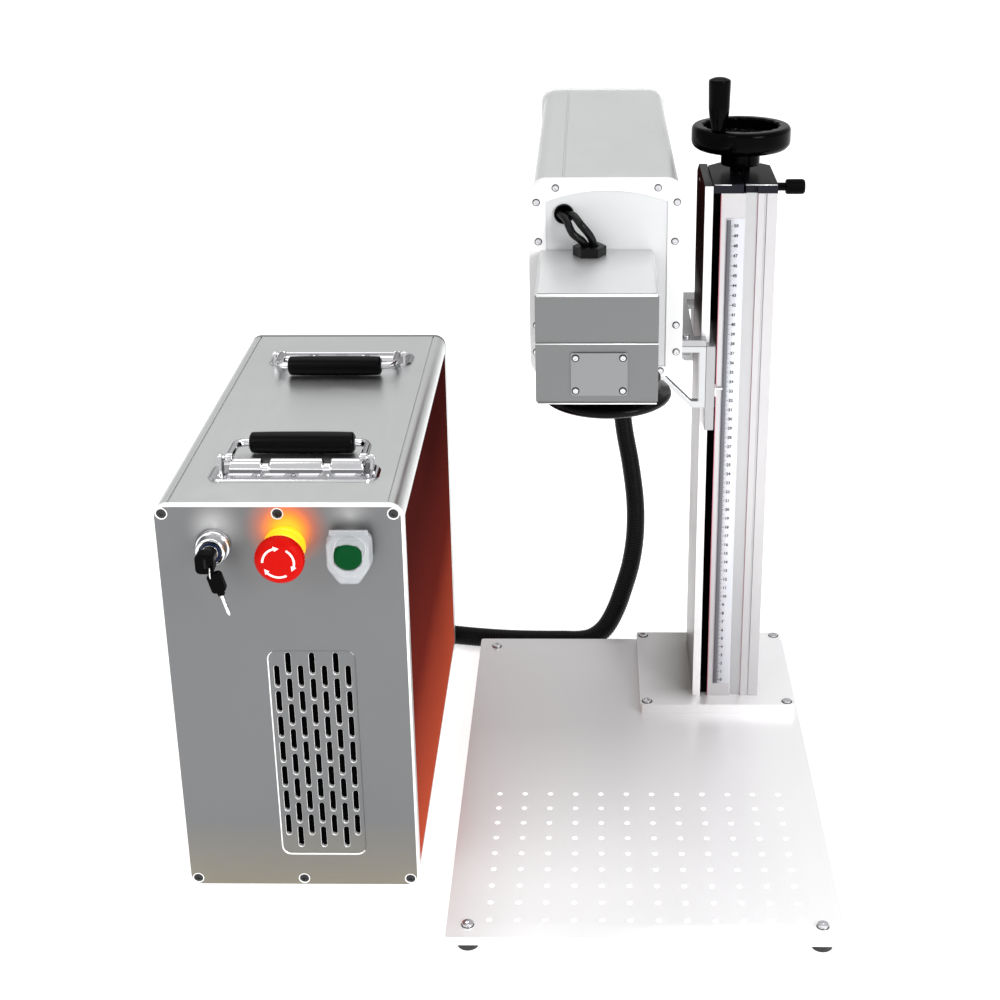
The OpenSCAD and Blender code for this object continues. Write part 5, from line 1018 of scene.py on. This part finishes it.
# ---------------------------------------------------------------- cabinet
def make_cabinet():
    """Housing of the cabinet with its screws, what stands inside it and what sits on its back."""
    for node, body, finish, width, slot in (
            ("cabinet_shell", "stand", shell_brushed, 0.0005, "shell"),
            ("cabinet_side_panels", "stand", red_gloss, 0.0007, "red_panel"),
            ("cabinet_rear_panel", "stand", panel_satin, 0.0007, "panel_grey"),
            ("power_inlet", "stand", (plastic_black, nickel), 0.0005, "black_plastic"),
            ("cabinet_gland", "stand", plastic_black, 0.0006, "black_plastic"),
            ("fan_frame", "stand", plastic_black, 0.0006, "fan_black"),
            ("fan_rotor", "fan_rotor", plastic_black, 0.0004, "fan_black")):
        dressed(node, body, finish, width)
    make_front_panel()
    low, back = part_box("cabinet_front_panel")[0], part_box("cabinet_rear_panel")[1].y
    for name, y, sizes, sign in (
            ("front_panel_screws", low.y + 0.0022, (4, 1.8, 1.9), -1),
            ("rear_panel_screws", back - 0.003, (4.3, 1.6, 1.8), 1)):
        spots = [(low.x + u, y, low.z + w) for u, w in PANEL_SCREWS]
        socket_screws(name, spots, "y", sizes, screw_black, "stand", "fixing_screws", sign)
    rims = [(low.x + u, low.y, low.z + w) for u, w in PANEL_SCREWS]
    # painted highlight rings round the front panel's screws
    sunk_rings("front_panel_screw_highlights", rims, "y", (4.4, 5.3), "stand", -1, painted_edge_highlight)
    finish_node("fibre_source", box_paint)
    finish_node("power_supply", supply_zinc)


def make_front_panel():
    """Front panel: every opening is a rounded rectangle or a circle whose front loop is widened by its chamfer.
    Rings of equal counts make the walls; the front face, the sunk vent field and the back face are flat fills
    between the loops."""
    low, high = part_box("cabinet_front_panel")
    front, back, edge, corner, sunk = low.y, high.y, 0.0017, 0.012, 0.0016
    slot_w, slot_h, slot_pitch_x, slot_pitch_z, slot_mid_z = 0.0025, 0.011, 0.0105, 0.0257, 0.1475
    field_corner, field_chamfer, slot_chamfer = 0.008, 0.0009, 0.0003
    hair = 0.00001
    rings, faces = [], []

    def ring(middle, half_w, half_h, r, steps, y):
        loop = np.array(rounded_rectangle(half_w, half_h, r, steps)) + np.array(middle)
        first = sum(len(one) for one in rings)
        rings.append(np.stack([loop[:, 0], np.full(len(loop), y), loop[:, 1]], -1))
        return np.arange(first, first + len(loop))

    def walls(chain):
        for a, b in zip(chain[:-1], chain[1:]):
            faces.extend(np.stack([a, np.roll(a, -1), np.roll(b, -1), b], -1).tolist())
        return chain

    def opening(middle, half_w, half_h, r, steps, chamfer, start, end):
        return walls([ring(middle, half_w + chamfer, half_h + chamfer, r + chamfer, steps, start),
                      ring(middle, half_w, half_h, r, steps, start + chamfer),
                      ring(middle, half_w, half_h, r, steps, end)])

    middle = ((low.x + high.x) / 2, (low.z + high.z) / 2)
    half_w, half_h = (high.x - low.x) / 2, (high.z - low.z) / 2
    outer = walls([ring(middle, half_w - edge, half_h - edge, corner - edge, 9, front),
                   ring(middle, half_w, half_h, corner, 9, front + edge),
                   ring(middle, half_w, half_h, corner, 9, back)])
    round_holes = [(x, CONTROL_Z, 0.011, 9, 0.0002) for x in (KEY_X, ESTOP_X, START_X)]
    round_holes += [(low.x + u, low.z + w, 0.0045, 7, 0.0008) for u, w in PANEL_SCREWS]
    holes = [opening((x, z), r, r, r - hair, steps, chamfer, front, back) for x, z, r, steps, chamfer in round_holes]
    field = opening((VENT_X, VENT_Z), VENT_HALF_W, VENT_HALF_H, field_corner, 7, field_chamfer, front, front + sunk)
    slots = []
    columns, fewest = 7, 7
    for column in range(columns):
        rows = fewest + column % 2
        x = VENT_X + (column - (columns - 1) / 2) * slot_pitch_x
        slots += [opening((x, slot_mid_z + (row - (rows - 1) / 2) * slot_pitch_z), slot_w, slot_h, slot_w - hair, 5,
                          slot_chamfer, front + sunk, back) for row in range(rows)]
    points = np.concatenate(rings)

    def fill(loops):
        order = np.concatenate(loops)
        flat = [[(float(points[k, 0]), float(points[k, 2]), 0.0) for k in loop] for loop in loops]
        faces.extend([int(order[k]) for k in three] for three in tessellate_polygon(flat))

    fill([outer[0], field[0]] + [hole[0] for hole in holes])
    fill([field[-1]] + [slot[0] for slot in slots])
    fill([outer[-1]] + [hole[-1] for hole in holes] + [slot[-1] for slot in slots])
    mesh = outward(mesh_from("front_panel_chamfered", points, faces))
    shown(mesh, (panel_glow, painted_edge_highlight, black_and_painted_shade), "stand", "cabinet_front_panel", 30)
    at, way = faces_of(mesh)
    aside = np.abs(way[:, 1]) < 0.9

    def in_field(wider):
        return ((np.abs(at[:, 0] - VENT_X) < VENT_HALF_W + wider)
                & (np.abs(at[:, 2] - VENT_Z) < VENT_HALF_H + wider))

    inside = in_field(-0.0005)
    # painted highlight on the walls of the openings, painted shade on the vent slots' walls except those facing up,
    # and the panel's own colour on the vent field's top and right rim walls
    zone = np.where(aside, 1, 0)
    zone = np.where(aside & inside & (way[:, 2] < 0.35) & (np.abs(way[:, 1]) < 0.2), 2, zone)
    zone = np.where(aside & in_field(0.002) & ~inside & (way[:, 2] < 0.3) & (way[:, 0] < 0.3), 0, zone)
    mesh.polygons.foreach_set("material_index", zone.astype(np.int32))
    mesh.polygons.foreach_set("use_smooth", np.abs(way[:, 1]) < 0.3)
    # painted shade: a black sheet just behind the vent slots
    mat = [(VENT_X - 0.037, 0.043, VENT_X + 0.037, 0.247)]
    flat_quads("vent_painted_shade", mat, back + 0.0003, back + 0.0023, black_and_painted_shade, "stand")


def base_height(u, v):
    """Height of a stamped handle base above the cabinet: a low rim, a flat field with four sunk oblongs, and on
    the pivot's side a half-round ridge in three segments, whose height is the root of one minus the square of
    the distance from its middle line. u and v run from -1 to 1."""
    edge = np.clip((1 - np.maximum(np.abs(u), np.abs(v))) / 0.07, 0, 1)
    rim = np.sin(edge * math.pi / 2) * 0.0022
    dip = np.clip((0.93 - np.abs(v)) / 0.1, 0, 1) * np.clip((0.95 - np.abs(u)) / 0.03, 0, 1)
    sunk = 0
    for middle, half in ((-0.62, 0.15), (-0.22, 0.13), (0.18, 0.13), (0.6, 0.13)):
        near = np.clip((half - np.abs(u - middle)) / 0.02, 0, 1) * np.clip((0.2 - np.abs(v - 0.38)) / 0.07, 0, 1)
        sunk = sunk + near
    along = np.clip((0.8 - np.abs(u)) / 0.02, 0, 1)
    gap = np.clip((0.055 - np.abs(np.abs(u) - 0.36)) / 0.015, 0, 1)
    ridge = 0.0078 * np.sqrt(np.clip(1 - ((v + 0.61) / 0.3) ** 2, 0, 1)) * along * (1 - 0.55 * gap)
    return rim - 0.0008 * dip - 0.001 * sunk + ridge


def make_handle(word, pivot_y, way, body):
    """A handle: stamped base with ears and rivets, chrome rod bent round two corners, and its sleeve.
    way is +1 where the sleeve lies towards +Y of the pivot, and -1 where it lies towards -Y."""
    mid, pivot_z, top = -0.1861, 0.4003, 0.39
    base_half_x, base_half_y, base_y = 0.0755, 0.0205, pivot_y - way * 0.0125
    cols, rows, narrow_from, rivet_line = 241, 65, 0.84, 0.38
    u, v = np.meshgrid(np.linspace(-1, 1, cols), np.linspace(-1, 1, rows))
    pinch = 1 - 0.55 * np.clip((np.abs(u) - narrow_from) / (1 - narrow_from), 0, 1) ** 1.8
    upper = np.stack([mid + u * base_half_x, base_y + way * v * base_half_y * pinch,
                      top + np.maximum(base_height(u, -v), 0)], -1)
    lower = upper.copy()
    lower[..., 2] = top
    faces = grid_faces(rows, cols) + [face[::-1] for face in grid_faces(rows, cols, first=rows * cols)]
    parts = [outward(mesh_from("handle_base_" + word, [upper, lower], faces), 2e-6)]
    rivet = mm(rounded_corners([(0, 0), (2.1, 0), (2.1, 0.8), (1.2, 1.6), (0, 1.7)], 0.6))
    ear_at, ear_half, ear_r = 0.0672, 0.0013, 0.0034
    ear = arc(pivot_y, pivot_z, ear_r, 0, math.pi, 15) + [(pivot_y - 0.007, top), (pivot_y + 0.007, top)]
    for side in (-1, 1):
        centre = mid + side * ear_at
        parts.append(prism("handle_ear", ear, "x", centre - ear_half, centre + ear_half))
        for along in (0.0655, 0.0305, 0.0):
            spot = (mid + side * along, base_y - way * rivet_line * base_half_y, top + 0.0012)
            parts.append(turned("handle_rivet", rivet, spot, "z", 24))
    base = shown(joined("handle_base_" + word, parts), chrome, "stand", "handle_bases", 40)
    eased(base, 0.0005, 2, 60.0)
    reach, half, rod_r, bend = 0.036, 0.06, 0.00375, 0.011
    flat = rounded_corners([(-half, 0.0), (-half, reach), (half, reach), (half, 0.0)], bend, 12)
    route = np.stack([mid + flat[:, 0], pivot_y + way * flat[:, 1], np.full(len(flat), pivot_z)], -1)
    rod = [carried("handle_rod", even_steps(route, 0.0022)[0], rod_r, 24)]
    eye = mm(rounded_corners([(0, -3.8), (4, -3.8), (4, 3), (2.2, 3), (2.2, 9.9), (0, 9.9)], 0.9))
    for side in (-1, 1):
        rod.append(turned("handle_eye", eye * (1, side), (mid + side * half, pivot_y, pivot_z), "x", 32))
    shown(joined("handle_rod_" + word, rod), chrome, body, body, 40)
    length, r, bore, round_end = 0.095, 0.01, 0.00385, 0.0028
    s = np.linspace(-1, 1, 61)
    ends = np.clip((1 - np.abs(s)) * length / 2 / round_end, 0, 1)
    swell = r * (1 - 0.05 * np.abs(s) ** 3) - round_end * (1 - np.sqrt(1 - (1 - ends) ** 2))
    outline = [(bore, mid - length / 2)] + [(q, mid + t * length / 2) for q, t in zip(swell, s)]
    outline += [(bore, mid + length / 2), (bore, mid - length / 2)]
    sleeve = turned("handle_sleeve_" + word, outline, (0, pivot_y + way * reach, pivot_z), "x", 72)
    shown(sleeve, sleeve_black, body, body, 50)


# ---------------------------------------------------------------- controls
def make_key_switch():
    """Key switch: a stepped chrome barrel with a dark insert ring round its plug, the key in it and a spare.
    The turned outlines are millimetres from the axis and behind the panel's face."""
    x, z = KEY_X, CONTROL_Z
    plug_r, insert_r, face = 7.06, 9.3, -17
    barrel = rounded_corners(
        [(0, 40), (11, 40), (11, 0), (15.5, 0), (15.5, -4.5), (14.2, -7), (13, -7), (13, face + 1.2), (11.8, face),
         (9.6, face), (insert_r, face + 0.8), (plug_r, face + 0.8), (plug_r, 1), (0, 1)],
        (0, 0, 0, 0.8, 1.5, 1, 0.5, 1, 0.8, 0.4, 0.3, 0.4, 0, 0))
    insert = rounded_corners(
        [(insert_r, face + 0.4), (insert_r, face - 0.1), (plug_r, face - 0.1), (plug_r, face + 1.2),
         (insert_r, face + 1.2), (insert_r, face + 0.4)], 0.2)
    for name, outline, steps, finish, node in (
            ("key_switch_barrel", barrel, 96, chrome, "key_barrel"),
            ("key_switch_insert", insert, 72, insert_blue, None)):
        mesh = turned(name, mm(outline), (x, PANEL_FRONT, z), "y", steps)
        shown(mesh, finish, "stand", node, 35)

    def key_zones(at, way):
        return (at[:, 1] > PANEL_FRONT + (face - 0.2) * MM) & (np.hypot(at[:, 0] - x, at[:, 2] - z) < 0.0072)

    dressed("key", "key", (plastic_black, nickel), 0.0005, key_zones)
    bow_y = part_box("key")[0].y
    bow = [(z - 0.0005 + v, x - 0.0005 + u) for u, v in rounded_rectangle(0.0078, 0.009, 0.004)]
    eye = arc(z - 0.0041, x + 0.0035, 0.0026)[:-1]
    shown(thick_ring("key_bow_cover", bow, eye, "y", bow_y + 0.0003, bow_y + 0.0105), black_gloss, "key",
          None, 30)
    across, lean = bow_y + 0.0065, math.radians(15.5)

    def leaned(name, points, half):
        """Prism of an outline in millimetres, hung below the bow and turned by the lean."""
        u, v = mm(points).T
        outline = np.stack([z - 0.0197 + u * math.sin(lean) + v * math.cos(lean),
                            x + 0.0073 + u * math.cos(lean) - v * math.sin(lean)], -1)
        return prism(name, outline, "y", across - half, across + half)

    head = leaned("head", rounded_rectangle(6.2, 9, 3), 0.0028)
    neck = leaned("neck", [(-3, -8), (3, -8), (2.6, -12.5), (-2.6, -12.5)], 0.002)
    blade = leaned("spare_key_blade", [
        (-1.4, -10), (1.26, -10), (1.26, -18), (0.7, -19.5), (1.26, -21), (0.84, -23.5), (1.26, -26), (1.26, -30),
        (0.14, -32.5), (-1.4, -30)], 0.001)
    shown(joined("spare_key_head", [head, neck]), black_gloss, "spare_key", "spare_key", 30)
    shown(blade, chrome, "spare_key", None, 30)
    wire = arc(0.0066, x + 0.0035, 0.0007, count=13)
    shown(turned("key_ring", wire, (0, across, z - 0.0095), "x", 48), nickel, "spare_key", None, 40)


def make_estop():
    """Emergency stop: yellow collar, red mushroom head with a fine toothed rim and three curved arrows. Turned
    outlines are millimetres from the axis and behind the panel's or the head's face."""
    x, z = ESTOP_X, CONTROL_Z
    collar = rounded_corners(
        [(0, 40), (11, 40), (11, 0), (18, 0), (18, -4), (16.8, -6), (16.2, -14), (15.2, -15), (6.05, -15),
         (6.05, 22), (0, 22)], (0, 0, 0, 0.8, 1, 1, 1, 0.8, 0.3, 0, 0))
    shown(turned("estop_collar_turned", mm(collar), (x, PANEL_FRONT, z), "y", 96), yellow_gloss, "stand",
          "estop_collar", 35)
    finish_node("estop_plunger", plastic_black)
    low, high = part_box("estop_head")
    face, deep, r = low.y, (high.y - low.y) / MM, 21
    rim = [(0, 0.2), (r * 0.45, 0.1), (r * 0.76, 0), (r * 0.82, 0.5), (r * 0.86, 1.3), (r * 0.91, 2.2),
           (r * 0.975, 4.2)]
    teeth = [(r, depth) for depth in (5, 6, 7.5, 9, 10)]
    under = [(r * 0.975, 11), (r * 0.93, 13), (r * 0.88, deep), (3.2, deep), (3.2, 7.3), (0, 7.3)]

    def teeth_ripple(a, k):
        toothed = (k >= len(rim)) & (k < len(rim) + len(teeth))
        return np.where(toothed, -0.0009 * (0.5 + 0.5 * np.sign(np.sin(40 * a))), 0.0)

    head = turned("estop_head_toothed", mm(rim + teeth + under), (x, face, z), "y", 576, teeth_ripple)
    shown(head, red_button, "estop_head", "estop_head", 40)
    inner, outer, barb = r * 0.585 * MM, r * 0.675 * MM, r * 0.07 * MM
    arrows = []
    for degrees in (2, 122, 242):
        start, end, tip = (math.radians(degrees + more) for more in (0, 74, 94))
        loop = arc(0, 0, inner, start, end, 17)
        loop += [(q * math.cos(a), q * math.sin(a)) for q, a in (
            (inner - barb, end), ((inner + outer) / 2, tip), (outer + barb, end))]
        loop += arc(0, 0, outer, end, start, 17)
        arrows.append(prism("estop_arrow", [(z + v, x - u) for u, v in loop], "y", face - 0.00005, face + 0.0005))
    shown(joined("estop_arrows", arrows), arrow_white, "estop_head", None, 30)


def make_start_button():
    """Start button: a green cap with a dished face in its bezel, behind a clear hinged guard. Turned outlines
    are millimetres from the axis and behind the panel's face."""
    x, z, front = START_X, CONTROL_Z, PANEL_FRONT
    face, r, stem_r, back = -26.2, 12.2, 11.5, (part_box("start_button")[1].y - front) / MM
    bezel = rounded_corners(
        [(12.1, 20), (12.1, -10.6), (12.9, -11), (13.9, -11), (14.5, -9.8), (14.5, 0), (11, 0), (11, 40), (8.5, 40),
         (8.5, 20), (12.1, 20)], 0.4)
    cap = rounded_corners(
        [(0, face + 0.7), (r * 0.55, face + 0.4), (r * 0.8, face), (r, face + 1.3), (r, face + 6),
         (stem_r, face + 7), (stem_r, -9.5), (6, -9.5), (6, back), (0, back)],
        (0, 1, 1.2, 1.2, 0.4, 0.4, 0.4, 0.3, 0.4, 0))
    hinge = rounded_corners([(0, -16.5), (2.8, -16.5), (2.8, 16.5), (0, 16.5)], 0.6)
    for name, outline, at, axis, steps, finish, body, slot, node, smooth_angle in (
            ("start_bezel_turned", bezel, (x, front, z), "y", 96, chrome, "stand", "bezel", "start_bezel", 35),
            ("start_button_cap", cap, (x, front, z), "y", 96, green_button, "start_button", "green_button",
             "start_button", 40),
            ("guard_hinge", hinge, (x, front - 0.0125, z + 0.0168), "x", 32, clear_guard, "guard_lid",
             "clear_guard", None, 40)):
        shown(turned(name, mm(outline), at, axis, steps), finish, body, node, smooth_angle)
    half, top, shoulder = 19, 16.5, -11
    guard = mm(rounded_corners([
        (-half, top - 5), (-half, shoulder), (-8.5, -26.5), (8.5, -26.5), (half, shoulder), (half, top - 5),
        (half - 4, top), (4 - half, top), (-half, top - 5)], 3)[:-1])
    shown(thick_ring("guard_frame", guard[:, ::-1] + (z, x), arc(z, x, 0.0147, count=49)[:-1], "y",
                     front - 0.01, front - 0.007), guard_white, "stand", None, 30)
    opening = guard * (0.0131 / np.linalg.norm(guard, axis=1)[:, None])
    levels = ((1.0, 11), (0.98, 19), (0.95, 24), (0.89, 25), (None, 25), (None, 24.2), (0.87, 24.2), (0.91, 23.5),
              (0.94, 18.5), (0.96, 11), (1.0, 11))
    points = []
    for scale, depth in levels:
        across, up = (guard * scale if scale else opening).T
        points.append(spread("y", z + up, x + across, front - depth * MM))
    shell = outward(mesh_from("guard_shell", points, grid_faces(len(levels), len(guard), wrap_cols=True)))
    shown(shell, clear_guard, "guard_lid", "guard_lid", 40)


# ---------------------------------------------------------------- floor and light
def make_stage():
    """Pale floor without edges in view, three soft lamps and a pale sky that is brighter overhead."""
    size = 80.0
    mesh = mesh_from("studio_floor", [(-size, -size, 0), (size, -size, 0), (size, size, 0), (-size, size, 0)],
                     [[0, 1, 2, 3]])
    floor = bpy.data.objects.new("studio_floor", mesh)
    bpy.context.scene.collection.objects.link(floor)
    pale = moulded("studio_pale", (0.84, 0.84, 0.84), 0.55, peel=30.0, bump=0.01,
                   Emission_Color=(1.0, 1.0, 1.0, 1.0), Emission_Strength=0.62)
    mesh.materials.append(pale.mat)
    for name, at, aim, width, height, watts, tint in (
            ("left_lamp", (-1.4, -1.5, 2.0), (0.0, 0.0, 0.3), 1.6, 1.2, 15.0, (1.0, 0.99, 0.97)),
            ("key_lamp", (1.5, -1.6, 1.3), (0.1, 0.0, 0.25), 0.8, 0.8, 30.0, (1.0, 1.0, 1.0)),
            ("top_lamp", (0.1, 0.5, 2.3), (0.0, 0.0, 0.2), 2.2, 1.6, 18.0, (1.0, 1.0, 1.0))):
        data = bpy.data.lights.new(name, "AREA")
        data.shape, data.size, data.size_y = "RECTANGLE", width, height
        data.energy, data.color = watts, tint
        way = np.array(aim) - np.array(at)
        way = way / np.linalg.norm(way)
        side = np.cross(way, (0, 0, 1.0))
        side /= np.linalg.norm(side)
        placed(bpy.data.objects.new(name, data), side, np.cross(side, way), -way, at)
    world = bpy.data.worlds.new("studio_sky")
    bpy.context.scene.world = world
    world.use_nodes = True
    tree = world.node_tree
    back = tree.nodes["Background"]
    where, split, ramp = (tree.nodes.new("ShaderNode" + kind) for kind in ("TexCoord", "SeparateXYZ", "ValToRGB"))
    tree.links.new(where.outputs["Generated"], split.inputs[0])
    tree.links.new(split.outputs["Z"], ramp.inputs[0])
    tree.links.new(ramp.outputs[0], back.inputs["Color"])
    for stop, position, color in zip(ramp.color_ramp.elements, (0.0, 0.75), ((0.88, 0.885, 0.89), (1.0, 1.0, 1.0))):
        stop.position, stop.color = position, (*color, 1)
    back.inputs["Strength"].default_value = 0.75
    bpy.context.scene.view_settings.view_transform = "Standard"


make_stand()
make_column()
make_ruler()
make_lock_knob()
make_handwheel()
make_lift()
make_lens()
make_cabinet()
make_handle("front", -0.2171, 1, "front_handle")
make_handle("rear", 0.0679, -1, "rear_handle")
make_key_switch()
make_estop()
make_start_button()
make_stage()
